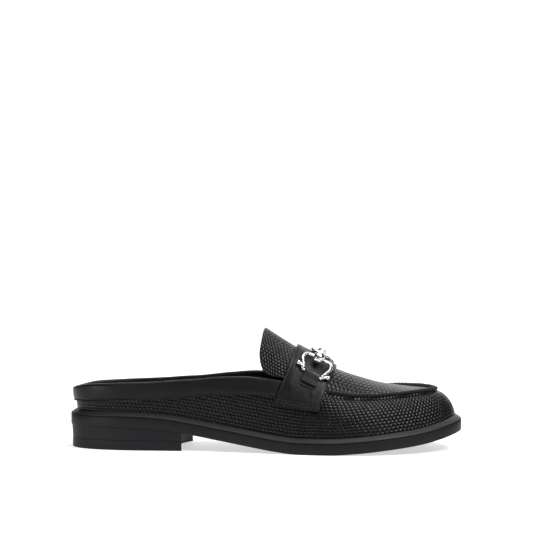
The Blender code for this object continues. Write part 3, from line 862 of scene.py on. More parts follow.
@dataclass(frozen=True)
class ScaledLeather:
    """Calf embossed with small staggered scales."""

    cell_along: float = 0.0027
    cell_up: float = 0.0022
    depth: float = 0.00042
    drift: float = 0.007
    grain: float = 0.0003
    patches: float = 0.012
    rough: tuple = (0.65, 0.26)
    shine: tuple = (0.03, 0.20)
    # groove is painted shade: the gaps between the domed scales are coloured darker, standing in for the
    # shade that falls in them.
    groove: tuple = (0.0012, 0.0012, 0.0018)
    face: tuple = (0.0026, 0.0026, 0.0038)

    def make(self) -> bpy.types.Material:
        """Makes the material.

        Returns:
            The material.
        """
        w = Wiring("embossed_leather")
        uv = w.uv()
        drift = w.sum("SUBTRACT", w.noise(uv, self.drift), 0.5)
        wander = w.sum("SUBTRACT", w.noise(w.add("Mapping", uv, (0.3, 0.7, 0.0)), self.drift), 0.5)
        x = w.sum("ADD", w.sum("DIVIDE", w.part(uv, 0), self.cell_along), w.sum("MULTIPLY", drift, 0.5))
        y = w.sum("ADD", w.sum("DIVIDE", w.part(uv, 1), 2 * self.cell_up), w.sum("MULTIPLY", wander, 0.25))
        shape = 2 * self.cell_up / self.cell_along
        spots = []
        for shift in (0.0, 0.5):
            cx = w.sum("ROUND", w.sum("SUBTRACT", x, shift))
            cy = w.sum("ROUND", w.sum("SUBTRACT", y, shift))
            fx = w.sum("SUBTRACT", w.sum("SUBTRACT", x, shift), cx)
            fy = w.sum("MULTIPLY", w.sum("SUBTRACT", w.sum("SUBTRACT", y, shift), cy), shape)
            far = w.sum("SQRT", w.sum("ADD", w.sum("MULTIPLY", fx, fx), w.sum("MULTIPLY", fy, fy)))
            number = w.add("CombineXYZ", cx, cy, shift)
            spots.append((far, number))
        near = w.sum("MINIMUM", spots[0][0], spots[1][0])
        first = w.sum("LESS_THAN", spots[0][0], spots[1][0])
        one = w.add("TexWhiteNoise", spots[0][1], noise_dimensions="3D")
        other = w.add("TexWhiteNoise", spots[1][1], noise_dimensions="3D")
        here = w.sum("MULTIPLY", one, first)
        odd = w.sum("ADD", here, w.sum("MULTIPLY", other, w.sum("SUBTRACT", 1.0, first)))
        reach = w.sum("DIVIDE", near, 0.56)
        dome = w.sum("MAXIMUM", w.sum("SUBTRACT", 1.0, w.sum("MULTIPLY", reach, reach)), 0.0)
        grain = w.noise(uv, self.grain)
        height = w.sum("MULTIPLY", dome, w.span(odd, 0.8, 1.0))
        height = w.sum("ADD", height, w.sum("MULTIPLY", grain, 0.08))
        raised = w.span(dome, 0.0, 1.0, 0.05, 0.5)
        # The colour falls to the groove tone off the domes: painted shade in the gaps between the scales.
        colour = w.blend(raised, self.groove, w.blend(odd, shaded(self.face, 0.7), self.face))
        rough = w.sum("ADD", w.span(raised, *self.rough), w.sum("MULTIPLY", w.noise(uv, self.patches), 0.10))
        shine = w.span(raised, *self.shine)
        return w.finish(colour, rough, Normal=w.relief(height, self.depth), Specular_IOR_Level=shine)


@dataclass(frozen=True)
class SmoothLeather:
    """Smooth calf with a fine grain and a soft sheen."""

    name: str = "smooth_leather"
    tone: tuple = (0.0024, 0.0024, 0.0025)
    gloss: float = 0.33
    shine: float = 0.19
    grain: float = 0.00004
    pores: float = 1400.0
    clouds: float = 0.009
    pebbles: float = 0.002

    def make(self) -> bpy.types.Material:
        """Makes the material.

        Returns:
            The material.
        """
        w = Wiring(self.name)
        place = w.object()
        pores = w.tree.nodes.new("ShaderNodeTexVoronoi")
        pores.feature = "DISTANCE_TO_EDGE"
        w.feed(pores, {"Vector": place, "Scale": self.pores})
        pebble = w.span(pores.outputs[0], 0.0, 1.0, 0.0, 0.12)
        soft = w.noise(place, self.clouds, 3.0)
        height = w.sum("ADD", pebble, w.sum("MULTIPLY", w.noise(place, self.pebbles), 0.8))
        colour = w.blend(soft, shaded(self.tone, 0.7), shaded(self.tone, 1.25))
        rough = w.sum("ADD", w.sum("MULTIPLY", soft, 0.14), self.gloss - 0.07)
        return w.finish(colour, rough, Normal=w.relief(height, self.grain), Specular_IOR_Level=self.shine)


@dataclass(frozen=True)
class Rubber:
    """Satin black sole rubber with faint buffing marks."""

    name: str
    tone: tuple = (0.0068, 0.0068, 0.0084)
    gloss: float = 0.5
    shine: float = 0.18
    grain: float = 0.00008
    lines: tuple = ()

    def make(self) -> bpy.types.Material:
        """Makes the material.

        Returns:
            The material.
        """
        w = Wiring(self.name)
        place = w.object()
        brushed = w.noise(w.add("Mapping", place, None, None, (1.0, 1.0, 12.0)), 0.006, 4.0)
        fine = w.noise(place, 0.0008, 3.0)
        height = w.sum("ADD", w.sum("MULTIPLY", brushed, 0.6), w.sum("MULTIPLY", fine, 0.4))
        shade = brushed
        for level in self.lines:
            off = w.sum("ABSOLUTE", w.sum("SUBTRACT", w.part(place, 2), level))
            mark = w.span(off, 0.0, 1.0, 0.00006, 0.0003)
            height = w.sum("MULTIPLY", height, mark)
            shade = w.sum("MULTIPLY", shade, w.sum("ADD", w.sum("MULTIPLY", mark, 0.5), 0.5))
        colour = w.blend(shade, shaded(self.tone, 0.55), shaded(self.tone, 1.3))
        rough = w.sum("ADD", w.sum("MULTIPLY", fine, 0.16), self.gloss - 0.08)
        return w.finish(colour, rough, Normal=w.relief(height, self.grain), Specular_IOR_Level=self.shine)


@dataclass(frozen=True)
class PolishedMetal:
    """Bright plated metal with hairline wear."""

    tone: tuple = (0.68, 0.67, 0.66)
    scratch: float = 0.000008

    def make(self) -> bpy.types.Material:
        """Makes the material.

        Returns:
            The material.
        """
        w = Wiring("polished_metal")
        place = w.object()
        worn = w.noise(place, 0.0015, 4.0)
        hair = w.noise(w.add("Mapping", place, None, (0.3, 0.2, 0.7), (1.0, 14.0, 1.0)), 0.0008, 2.0)
        colour = w.blend(worn, shaded(self.tone, 0.85), self.tone)
        rough = w.span(worn, 0.20, 0.30)
        return w.finish(colour, rough, Normal=w.relief(hair, self.scratch), Metallic=1.0)


@dataclass(frozen=True)
class Thread:
    """Twisted waxed thread."""

    tone: tuple = (0.020, 0.020, 0.021)
    twist: float = 0.00008

    def make(self) -> bpy.types.Material:
        """Makes the material.

        Returns:
            The material.
        """
        w = Wiring("thread")
        place = w.object()
        twist = w.noise(w.add("Mapping", place, None, (0.0, 0.6, 0.4), (1.0, 1.0, 0.4)), 0.00025, 2.0)
        colour = w.blend(twist, shaded(self.tone, 0.5), self.tone)
        rough = w.span(twist, 0.45, 0.65)
        return w.finish(colour, rough, Normal=w.relief(twist, self.twist))


@dataclass(frozen=True)
class PaleFloor:
    """The plain pale floor."""

    tone: tuple = (0.55, 0.55, 0.55)
    glow: float = 0.6
    reach: tuple = (0.30, 1.20)

    def make(self) -> bpy.types.Material:
        """Makes the material: it glows more away from the shoe, like a lit sweep.

        Returns:
            The material.
        """
        w = Wiring("pale_floor")
        place = w.object()
        soft = w.noise(place, 0.4, 1.0)
        colour = w.blend(soft, shaded(self.tone, 0.985), self.tone)
        away = w.tree.nodes.new("ShaderNodeVectorMath")
        away.operation = "LENGTH"
        w.feed(away, {0: place})
        glow = w.span(away.outputs["Value"], self.glow, 1.0, *self.reach)
        rough, white = w.span(soft, 0.50, 0.54), (1.0, 1.0, 1.0, 1.0)
        return w.finish(colour, rough, Specular_IOR_Level=0.2, Emission_Color=white, Emission_Strength=glow)


@dataclass
class Finishes:
    """All of the shoe's finishes, each with its record's slot and its materials in the order of a mesh's."""

    def __post_init__(self) -> None:
        """Makes them once."""
        scaled, smooth = ScaledLeather().make(), SmoothLeather().make()
        # The keepers get a lighter copy of the smooth leather: a painted highlight on the loops, which face
        # up into the light.
        keeper = SmoothLeather("keeper_leather", (0.009, 0.009, 0.009), 0.36, 0.28).make()
        lining = SmoothLeather("insole_leather", (0.005, 0.005, 0.005), 0.6, 0.15, 0.00003).make()
        self.scaled = ("embossed_leather", scaled, lining)
        self.smooth = ("smooth_leather", smooth)
        self.keeper = ("smooth_leather", keeper)
        self.lining = ("insole_leather", lining)
        self.rubber = ("sole_rubber", Rubber("sole_rubber").make())
        self.stack = ("heel_stack", Rubber("heel_stack", lines=(0.0186, 0.0160, 0.0128)).make())
        # The welt rubber is lighter than the sole's: a painted highlight on the sloping strip, which catches
        # the light.
        self.strip = ("welt_strip", Rubber("welt_strip", (0.013, 0.013, 0.014), 0.42, 0.22).make())
        self.metal = ("polished_metal", PolishedMetal().make())
        self.thread = ("smooth_leather", Thread().make())


@dataclass
class Sole:
    """The lift, heel, outsole, welt and footbed."""

    last: Last
    finishes: Finishes
    round_off: float = 0.0004
    lift: float = 0.0065
    joint: float = 0.00015
    proud: float = 0.0001
    heel_inset: float = 0.0006
    heel_taper: float = 0.0006
    heel_length: float = 0.0800
    hollow: float = 0.0070
    wall: float = 0.0018
    ledge: float = 0.0012
    footbed: float = 0.0040
    ease: float = 0.0018
    steps: int = 260

    def ring(self, distance: float, height: Curve) -> Array:
        """Gives a ring round the shoe.

        Args:
            distance: How far it lies inside the outline.
            height: Its height by the share of the length.

        Returns:
            Its points.
        """
        share = np.arange(self.steps) / self.steps
        turn = np.where(share <= 0.5, -2 * share, 2 - 2 * share)
        plan = self.last.inset(turn, distance)
        return np.column_stack([plan, height(along_at(turn))])

    def skinned(self, name: str, rings: Sequence[Array], capped: bool = True) -> Piece:
        """Makes a solid of rings one over the other.

        Args:
            name: The piece's name.
            rings: Its rings.
            capped: Whether lids close it. Otherwise its last ring is joined to its first.

        Returns:
            The solid.
        """
        rings = np.array(list(rings) + ([] if capped else [rings[0]]))
        shape = woven(rings)
        piece = Sheet(name, rings.shape[1], len(rings) - 1, closed=True).lay(lambda s, t: shape(t, s))
        if capped:
            cap(piece, bpy.ops.mesh.quads_convert_to_tris)
        else:
            outward_faces(piece)
        return piece

    def build_outsole(self) -> None:
        """Makes the outsole with its edges rounded."""
        low, top, off = self.last.underside, self.last.sole, self.round_off
        edge = (
            (2.0, 0.0, 0), (1.2, 0.08, 0), (0.55, 0.35, 0), (0.15, 0.8, 0), (0.0, 1.4, 0),
            (0.0, 0.0, 0.5), (0.0, -0.35, 1), (0.12, -0.1, 1), (0.4, 0.0, 1),
        )
        rings = [self.ring(inset * off, over(low, share * top + rise * off)) for inset, rise, share in edge]
        piece = self.skinned("outsole_edge_rounded", rings)
        dress(piece, 30.0, self.finishes.rubber, "outsole")

    def build_welt(self) -> None:
        """Makes the sloping welt with its bright outer edge."""
        last = self.last
        base = over(last.underside, last.sole)
        inner = last.welt_margin + self.wall + self.ledge
        slope = (
            (0.25, 0.0, 0.3), (0.0, 0.0, 0.45), (0.0, 0.0, 0.80), (0.10, 0.0, 1.0), (0.30, 0.08, 1.0),
            (0.80, 0.22, 1.0), (1.6, 0.45, 1.0), (2.6, 0.73, 1.0), (3.4, 0.95, 1.0), (3.75, 1.0, 1.0),
        )
        rings = [
            self.ring(inset * 0.001, over(base, rise * last.welt_edge + climb * last.welt_rise))
            for inset, climb, rise in slope
        ]
        for height in (last.welt_edge + last.welt_rise, last.gap):
            rings.append(self.ring(inner, over(base, height)))
        piece = self.skinned("welt_bevelled", rings, capped=False)
        # Its lighter rubber is a painted highlight.
        dress(piece, 50.0, self.finishes.strip, "welt")

    def build_footbed(self) -> None:
        """Makes the cupped footbed."""
        last = self.last
        wide = last.welt_margin + self.wall + self.ease
        inner = last.welt_margin + self.wall + self.ledge + last.gap
        foot, seat = over(last.underside, last.sole + last.gap), over(last.welt_top, last.gap)
        rings = [self.ring(inner, foot), self.ring(inner, seat), self.ring(wide, seat)]
        rings.append(self.ring(wide, over(last.welt_top, self.footbed - 0.0006)))
        rings.append(self.ring(wide + 0.0004, over(last.welt_top, self.footbed)))
        for k in range(1, 7):
            drop = 0.2 * self.footbed * math.sin(k / 6 * math.pi / 2)
            rings.append(self.ring(wide + 0.003 * k, over(last.welt_top, self.footbed - drop)))
        dress(self.skinned("footbed", rings), 50.0, self.finishes.lining, "insole")

    def heel_plan(self, distance: float) -> Array:
        """Gives the heel's plan: round the back, then the hollow breast.

        Args:
            distance: How far it lies inside the outline.

        Returns:
            Its points.
        """
        last = turn_at(self.heel_length / self.last.length)
        around = self.last.inset(np.linspace(-last, last, 121), distance)
        f = np.linspace(0, 1, 42)[1:-1, None]
        breast = around[-1] + (around[0] - around[-1]) * f
        breast[:, 0] -= (self.hollow * 4 * f * (1 - f))[:, 0]
        return np.vstack([around, breast])

    def block(self, name: str, levels: Sequence[tuple[float, Curve]]) -> Piece:
        """Makes a heel piece of plans one over the other.

        Args:
            name: The piece's name.
            levels: For each plan, how far it lies inside the outline, and its height.

        Returns:
            The solid.
        """
        rings = []
        for distance, height in levels:
            plan = self.heel_plan(distance)
            along = np.clip(plan[:, 0] / self.last.length + 0.5, 0, 1)
            rings.append(np.column_stack([plan, height(along)]))
        return self.skinned(name, rings)

    def build_heel(self) -> None:
        """Makes the lift and the stacked block over it."""
        edge, chamfer, head = 0.0004, 0.00005, self.last.underside
        low = self.heel_inset + self.heel_taper - self.proud
        levels = (
            (edge, 0.0), (0.25 * edge, 0.25 * edge), (0.0, edge),
            (0.0, self.lift - chamfer), (chamfer, self.lift),
        )
        rings = [(low + inset, over(np.zeros_like, height)) for inset, height in levels]
        lift = self.block("heel_lift", rings)
        dress(lift, 30.0, self.finishes.rubber, "top_lift")
        foot, inset, taper = self.lift + self.joint, self.heel_inset, self.heel_taper
        stack = self.block("heel_stacked", [
            (inset + taper + chamfer, over(np.zeros_like, foot)),
            (inset + taper, over(np.zeros_like, foot + chamfer)),
            (inset + taper / 2, lambda along: (foot + head(along)) / 2),
            (inset, over(head, -2 * chamfer)),
            (inset + 2 * chamfer, head),
        ])
        dress(stack, 30.0, self.finishes.stack, "heel")

    def build(self) -> None:
        """Makes everything under the upper."""
        self.build_heel()
        self.build_outsole()
        self.build_welt()
        self.build_footbed()


@dataclass
class Upper:
    """The wall round the foot, the apron and its raised seam."""

    last: Last
    finishes: Finishes
    wall: float = 0.0018
    seam_rise: float = 0.0017
    seam_half: float = 0.0014
    stitch_pitch: float = 0.0026
    groove_depth: float = 0.0008
    groove_below: float = 0.0026
    groove_width: float = 0.0014
    sink_depth: float = 0.0006
    sink_share: float = 0.22
    end_rise: float = 0.45
    throat: float = 0.505
    seam_start: float = 0.6132

    def wall_point(self, s: Array, t: Array) -> Array:
        """Gives the wall's outer face: round from the heel over the outer side, up from the feather line.

        Args:
            s: Shares round.
            t: Shares up.

        Returns:
            A point for each.
        """
        turn = np.where(s <= 0.5, -2 * s, 2 - 2 * s)
        below = (1 - t) * 0.025
        front = smooth((along_at(turn) - self.seam_start) / 0.02)
        groove = -self.groove_depth * trough(below - self.groove_below, self.groove_width) * front
        return self.last.proud(turn, t, groove)

    def build_wall(self) -> None:
        """Makes the scaled wall from the feather line to the topline and the apron."""
        piece = Sheet("vamp_and_quarters", 420, 44, closed=True).lay(self.wall_point)
        apply(piece, "SOLIDIFY", thickness=self.wall, offset=-1.0, use_even_offset=True, material_offset=1)
        dress(piece, 50.0, self.finishes.scaled, "upper")

    def apron_point(self, s: Array, t: Array) -> Array:
        """Gives the apron's outer face: from throat to toe, and over from the outer side.

        Args:
            s: Shares to the toe.
            t: Shares over.

        Returns:
            A point for each.
        """
        start = turn_at(self.throat)
        side = np.where(t > 0.5, 1.0, -1.0)
        turn = side * (start + (1 - start) * s)
        place = 2 - np.abs(2 * t - 1)
        edge = place - 1
        front = smooth((along_at(turn) - self.seam_start) / 0.02)
        sink = -self.sink_depth * trough(edge, self.sink_share) * front
        return self.last.proud(turn, place, sink)

    def build_apron(self) -> None:
        """Makes the apron over the instep and toes."""
        sheet = Sheet("apron", 200, 80, zero=0.5, closed=True, scale=(0.87, 0.6))
        piece = sheet.lay(self.apron_point)
        apply(piece, "SOLIDIFY", thickness=self.wall, offset=-1.0, material_offset=1)
        dress(piece, 50.0, self.finishes.scaled)

    def seam_line(self, count: int) -> Array:
        """Gives signed turns along the seam, evenly spaced, from the outer end over the toe to the inner one.

        Args:
            count: How many to give.

        Returns:
            The turns.
        """
        start = turn_at(self.seam_start)
        share = np.linspace(-1, 1, 4001)
        turn = np.where(share < 0, -1.0, 1.0) * (1 - (1 - start) * np.abs(share))
        run = run_along(self.last.rim(turn))
        even = np.interp(np.linspace(0, run[-1], count), run, share)
        self.seam_length = run[-1]
        return np.where(even < 0, -1.0, 1.0) * (1 - (1 - start) * np.abs(even))

    def build_seam(self) -> None:
        """Makes the raised gathered seam of the apron and its whip stitches."""
        count = 620
        turn = self.seam_line(count)
        place = np.ones(count)
        middle = self.last.skin(turn, place)
        out = self.last.normal(turn, place)
        ahead = unit(np.gradient(middle, axis=0))
        across = unit(np.cross(ahead, out))
        run = np.linspace(0, self.seam_length, count)
        pull = np.abs(np.cos(np.pi * run / self.stitch_pitch)) ** 6
        ends = smooth(np.minimum(run, self.seam_length - run) / 0.004)
        crest = self.seam_rise * (self.end_rise + (1 - self.end_rise) * ends)
        profile = (
            (-1.5, -0.55), (-1.25, 0.10), (-0.95, 0.55), (-0.55, 0.88), (-0.12, 1.0), (0.05, 0.82),
            (0.25, 0.98), (0.65, 0.80), (0.90, 0.40), (0.92, -0.05), (0.70, -0.45), (0.3, -0.7),
        )
        sections = []
        for side, high in profile:
            rise = high * crest * (1 - 0.13 * pull * (high > 0))
            wide = side * self.seam_half * (1 - 0.10 * pull)
            sections.append(middle + across * wide[:, None] + out * rise[:, None])
        piece = Roll("apron_seam").sweep(np.stack(sections, 1))
        dress(piece, 60.0, self.finishes.smooth)
        whip = Stitches(self.stitch_pitch, 0.0024, 0.0005, 0.0003, across=True)
        row = middle + out * (0.86 * crest)[:, None]
        dress(whip.sew("apron_seam_stitches", [(row, out)]), 80.0, self.finishes.thread)

    def build(self) -> None:
        """Makes the upper."""
        self.build_wall()
        self.build_apron()
        self.build_seam()


@dataclass
class Trims:
    """The topline band, the tab, the saddle strap and the keepers."""

    last: Last
    finishes: Finishes
    wall: float = 0.0018
    band_thickness: float = 0.0010
    band_inner: float = 0.0050
    tab_wall: float = 0.0020
    tab_corner: float = 0.0125
    tab_side: float = 1.07
    tab_back: float = 0.445
    tip_drop: float = 0.05
    tip_share: float = 0.07
    throat: float = 0.505
    band_end: float = 0.501
    middle: float = 0.5625
    strap_lower: tuple = (0.49, 0.44)
    strap_thickness: float = 0.0020
    keeper_width: float = 0.0112
    keeper_thickness: float = 0.0011
    keeper_length: float = 0.0095
    bar_down: float = 0.0276
    bar_slope: float = 0.28
    bar_radius: float = 0.0008
    edge: float = 0.0005
    keeper_edge: float = 0.0003
    margin: float = 0.0017
    second_row: float = 2.1
    press_depth: float = 0.00022
    press_width: float = 0.00045
    worn_depth: float = 0.0003
    worn_width: float = 0.0008
    slit_depth: float = 0.0007
    slit_width: float = 0.00035
    slit_share: float = 0.44
    slit_under: float = 0.0009
    offset: float = 0.0008
    creases: tuple = (
        (0.0060, 0.0400, 0.0014, 0.0002, 0.9),
        (0.0040, 0.0420, 0.0018, -0.00012, 0.8),
        (0.0070, 0.0440, 0.0018, 0.00010, 1.1),
        (-0.0095, 0.0350, 0.0030, 0.0004, 1.3),
        (-0.0130, 0.0350, 0.0028, -0.0003, 1.3),
    )

    def ripple(self, turn: Array, share: float) -> Array:
        """Gives the soft unevenness of the band: wide shallow troughs, fading out at the back of the heel.

        Args:
            turn: Signed turns.
            share: Share of the band's width.

        Returns:
            A height for each turn.
        """
        along = along_at(turn) + 0.02 * share
        place = along * 24 + np.sin(along * 31) + np.where(turn < 0, 0.0, 2.0)
        return 0.00018 * np.sin(place) * math.sin(math.pi * share) * smooth(along / 0.1)

    def build_band(self) -> None:
        """Makes the smooth leather folded over the topline."""
        last = self.last
        end = turn_at(self.band_end)
        turn = np.linspace(-end, end, 361)
        turn[180] = 1e-6
        width = last.curve["width"](along_at(turn)) * last.instep_height
        full = np.linalg.norm(last.skin(turn, np.ones(361)) - last.skin(turn, np.zeros(361)), axis=1)
        near, far = last.gap, last.gap + self.band_thickness
        up = unit(last.skin(turn, np.full(361, 1.0)) - last.skin(turn, np.full(361, 0.98)))
        sections = []
        lower, inner = 1 - width / full, 1 - self.band_inner / full
        edge = (
            (0.0, near), (-0.012, 0.6 * far), (-0.004, far + 0.0001), (0.03, far + 0.00025),
            (0.07, far + 0.0002), (0.10, far - 0.0001), (0.115, far - 0.0004), (0.13, far - 0.0001),
            (0.16, far + 0.0001),
        )
        for share, height in edge:
            sections.append(last.proud(turn, lower + (1 - lower) * share, height))
        for share in (0.25, 0.35, 0.45, 0.55, 0.65, 0.75, 0.85, 0.93):
            puff = 0.00025 * math.sin(math.pi * share) + self.ripple(turn, share)
            sections.append(last.proud(turn, lower + (1 - lower) * share, far + puff))
        centre = -self.wall / 2
        reach = far - centre
        for degrees in range(0, 181, 20):
            angle = math.radians(degrees)
            out = centre + reach * math.cos(angle)
            rise = 1.15 * far * math.sin(angle)
            sections.append(last.proud(turn, 1.0, out) + up * rise)
        deep = -self.wall - far
        sections.append(last.proud(turn, (1 + inner) / 2, deep))
        sections.append(last.proud(turn, inner, deep))
        sections.append(last.proud(turn, inner, deep + self.band_thickness))
        sections.append(last.proud(turn, 1.0, deep + self.band_thickness))
        sections.append(last.proud(turn, 1.0, near))
        piece = Roll("topline_binding").sweep(np.stack(sections, 1))
        dress(piece, 60.0, self.finishes.smooth, "topline_band")
        place = lower + (1 - lower) * 0.115
        row = last.proud(turn, place, far - 0.0002)
        seam = Stitches().sew("topline_stitches", [(row, last.normal(turn, place))])
        dress(seam, 80.0, self.finishes.thread)

    def hoop(self, start: float, end: float, low: Callable[[Array], Array], height: float) -> Surface:
        """Gives the surface of a piece over the instep.

        Args:
            start: The turn at its back.
            end: The turn at its front.
            low: Gives the place of its side edges for shares from back to front.
            height: How far it stands over the last.

        Returns:
            The surface, by shares from back to front and from the outer side over to the inner.
        """

        def shape(s: Array, t: Array) -> Array:
            """Reads points of the surface.

            Args:
                s: Shares from back to front.
                t: Shares from the outer side over to the inner.

            Returns:
                A point for each.
            """
            side = np.where(t > 0.5, 1.0, -1.0)
            place = 2 - (2 - low(s)) * np.abs(2 * t - 1)
            return self.last.proud(side * (start + (end - start) * s), place, height)

        return shape

    def build_tab(self) -> None:
        """Makes the tab with its round corners."""
        back, front = turn_at(self.tab_back), turn_at(self.throat)
        ends = self.last.ridge(np.array([back, front]))
        length = np.linalg.norm(ends[1] - ends[0])
        corner = min(self.tab_corner / length, 0.9)
        side = self.last.skin(np.full(2, -back), np.array([self.tab_side, 2.0]))
        lift = self.tab_corner / np.linalg.norm(side[1] - side[0]) * (2 - self.tab_side)

        def low(s: Array) -> Array:
            """Gives the place of the side edge."""
            q = np.maximum(0, 1 - s / corner)
            return self.tab_side + lift * (1 - np.sqrt(np.maximum(0, 1 - q * q)))

        shape = self.hoop(back, front, low, 0.0)

        def eased(s: Array, t: Array) -> Array:
            """Reads a point with more rows at the round corners."""
            tip = self.tip_drop * trough(2 * t - 1, self.tip_share) * (1 - s)
            return shape((1 - self.last.gap / length) * s**1.5 + tip, t)

        sheet = Sheet("tab", 70, 80, zero=0.5)
        piece = sheet.lay(eased)
        apply(piece, "SOLIDIFY", thickness=self.tab_wall, offset=-1.0, material_offset=1)
        bevel(piece, self.edge, 50)
        dress(piece, 50.0, self.finishes.scaled, "tongue")

    def strap_face(self, s: Array, t: Array, height: Array | float = 0.0) -> Array:
        """Gives the strap's outer face, by shares from back to front and from the outer side to the inner.

        Args:
            s: Shares from back to front.
            t: Shares over.
            height: How far over the face.

        Returns:
            A point for each.
        """
        low = self.strap_lower[0] + (self.strap_lower[1] - self.strap_lower[0]) * s
        place = 2 - (2 - low) * np.abs(2 * t - 1)
        back, front = (turn_at(self.last.curve[name](place)) for name in ("strap_back", "strap_front"))
        turn = np.where(t > 0.5, 1.0, -1.0) * (back + (front - back) * s)
        return self.last.proud(turn, place, self.last.gap + self.strap_thickness + height)

    def strap_relief(self, s: Array, t: Array) -> Array:
        """Gives the strap's relief: pressed stitch lines, the keeper's slit, and soft creases below it.

        Args:
            s: Shares from back to front.
            t: Shares over.

        Returns:
            A height for each.
        """
        wide, long = self.strap_size
        down = np.abs(2 * t - 1) * long
        ahead = (s - 0.5) * wide
        edge = np.minimum(wide / 2 - np.abs(ahead), long - down)
        low = long - down
        relief = -self.press_depth * trough(edge - self.margin, self.press_width)
        second = trough(low - self.second_row * self.margin, self.press_width)
        relief -= self.press_depth * second * smooth((edge - 0.001) / 0.0005)
        relief -= self.worn_depth * smooth(1 - edge / self.worn_width) ** 2
        slit = self.bar_down + self.keeper_length - self.slit_under + self.bar_slope * (ahead - self.offset)
        across = np.abs(ahead - self.offset) - self.keeper_width * self.slit_share
        relief -= self.slit_depth * trough(down - slit, self.slit_width) * smooth(1 - across / 0.0004)
        for x, y, size, depth, slant in self.creases:
            along, over = ahead - x, down - y
            line = over * math.cos(slant) - along * math.sin(slant)
            run = along * math.cos(slant) + over * math.sin(slant)
            relief += depth * trough(line, size) * trough(run, 2.6 * size)
        return relief

    def build_strap(self) -> None:
        """Makes the saddle strap."""
        count = np.linspace(0, 0.5, 60)
        hoop = self.strap_face(np.full(60, 0.5), count)
        across = self.strap_face(np.array([0.0, 1.0]), np.full(2, 0.1))
        self.strap_size = (run_along(across)[-1], run_along(hoop)[-1])
        sheet = Sheet("strap_over_instep", 96, 240, zero=0.5)
        piece = sheet.lay(lambda s, t: self.strap_face(s, t, self.strap_relief(s, t)))
        apply(piece, "SOLIDIFY", thickness=self.strap_thickness, offset=-1.0)
        bevel(piece, self.edge, 50)
        dress(piece, 50.0, self.finishes.smooth, "saddle_strap")
        wide, long = self.strap_size
        side, deep = self.margin / wide, self.margin / long / 2
        even = np.linspace(deep, 1 - deep, 121)
        short = np.linspace(side, 1 - side, 31)
        rows = [(np.full(121, s), even) for s in (side, 1 - side)]
        lows = [deep, self.second_row * deep]
        rows += [(short, np.full(31, t)) for t in lows + [1 - low for low in lows]]
        lines = []
        for s, t in rows:
            face = self.strap_face(s, t, -0.00005)
            lines.append((face, self.strap_face(s, t, 0.001) - face))
        dress(Stitches().sew("strap_stitches", lines), 80.0, self.finishes.thread)

    def strap_point(self, side: Side, ahead: float, down: float, height: float) -> Array:
        """Gives a point over the strap: ahead of the ornament's middle, down from the ridge, above its face.

        Args:
            side: The side of the ridge.
            ahead: How far ahead of the ornament's middle.
            down: How far down from the ridge.
            height: How far over the face.

        Returns:
            The point.
        """
        middle = float(turn_at(self.middle))
        level = self.last.gap + self.strap_thickness
        places = np.linspace(2.0, 0.4, 33)
        hoop = self.last.proud(np.full(33, side.value * middle), places, level)
        run = run_along(hoop)
        place = np.full(2, np.interp(down, run, places))
        step = 1e-3
        near, far = self.last.proud(side.value * np.array([middle - step, middle + step]), place, level)
        turn = middle + ahead * 2 * step / np.linalg.norm(far - near)
        return self.last.proud(np.array([side.value * turn]), place[:1], level + height)[0]

    def build_keeper(self, side: Side, node: str) -> None:
        """Makes a leather loop over the bar of the ornament.

        Args:
            side: Its side.
            node: The CAD node that it replaces.
        """
        bar, clear = self.bar_down, self.bar_radius + self.last.gap
        gap, thick = self.last.gap, self.keeper_thickness
        outer, level = clear + thick, gap + self.bar_radius
        end = bar + self.keeper_length - outer
        section = (
            (end, gap), (end, gap + thick), (bar + 2.2 * outer, gap + 1.15 * thick),
            (bar + 1.1 * outer, level + 0.55 * outer), (bar + 0.5 * outer, level + 0.95 * outer),
            (bar - 0.4 * outer, level + 0.95 * outer), (bar - 0.95 * outer, level + 0.3 * outer),
            (bar - outer, gap), (bar - 1.05 * clear, gap), (bar - 1.05 * clear, level + 0.3 * clear),
            (bar - 0.45 * clear, level + clear), (bar + 0.45 * clear, level + clear),
            (bar + 1.15 * clear, level + 0.2 * clear), (bar + 1.6 * clear, gap),
        )
        width = self.keeper_width
        sections = []
        for ahead in width * np.linspace(-0.5, 0.5, 13):
            slant = self.bar_slope * ahead
            sections.append([self.strap_point(side, ahead, down + slant, height) for down, height in section])
        piece = Roll("keeper_loop_" + side.name.lower()).sweep(np.array(sections))
        bevel(piece, self.keeper_edge, 40)
        # Its lighter leather is a painted highlight.
        dress(piece, 50.0, self.finishes.keeper, node)

    def build(self) -> None:
        """Makes the trims."""
        self.build_band()
        self.build_tab()
        self.build_strap()
        self.build_keeper(Side.OUTER, "keeper_lateral")
        self.build_keeper(Side.INNER, "keeper_medial")


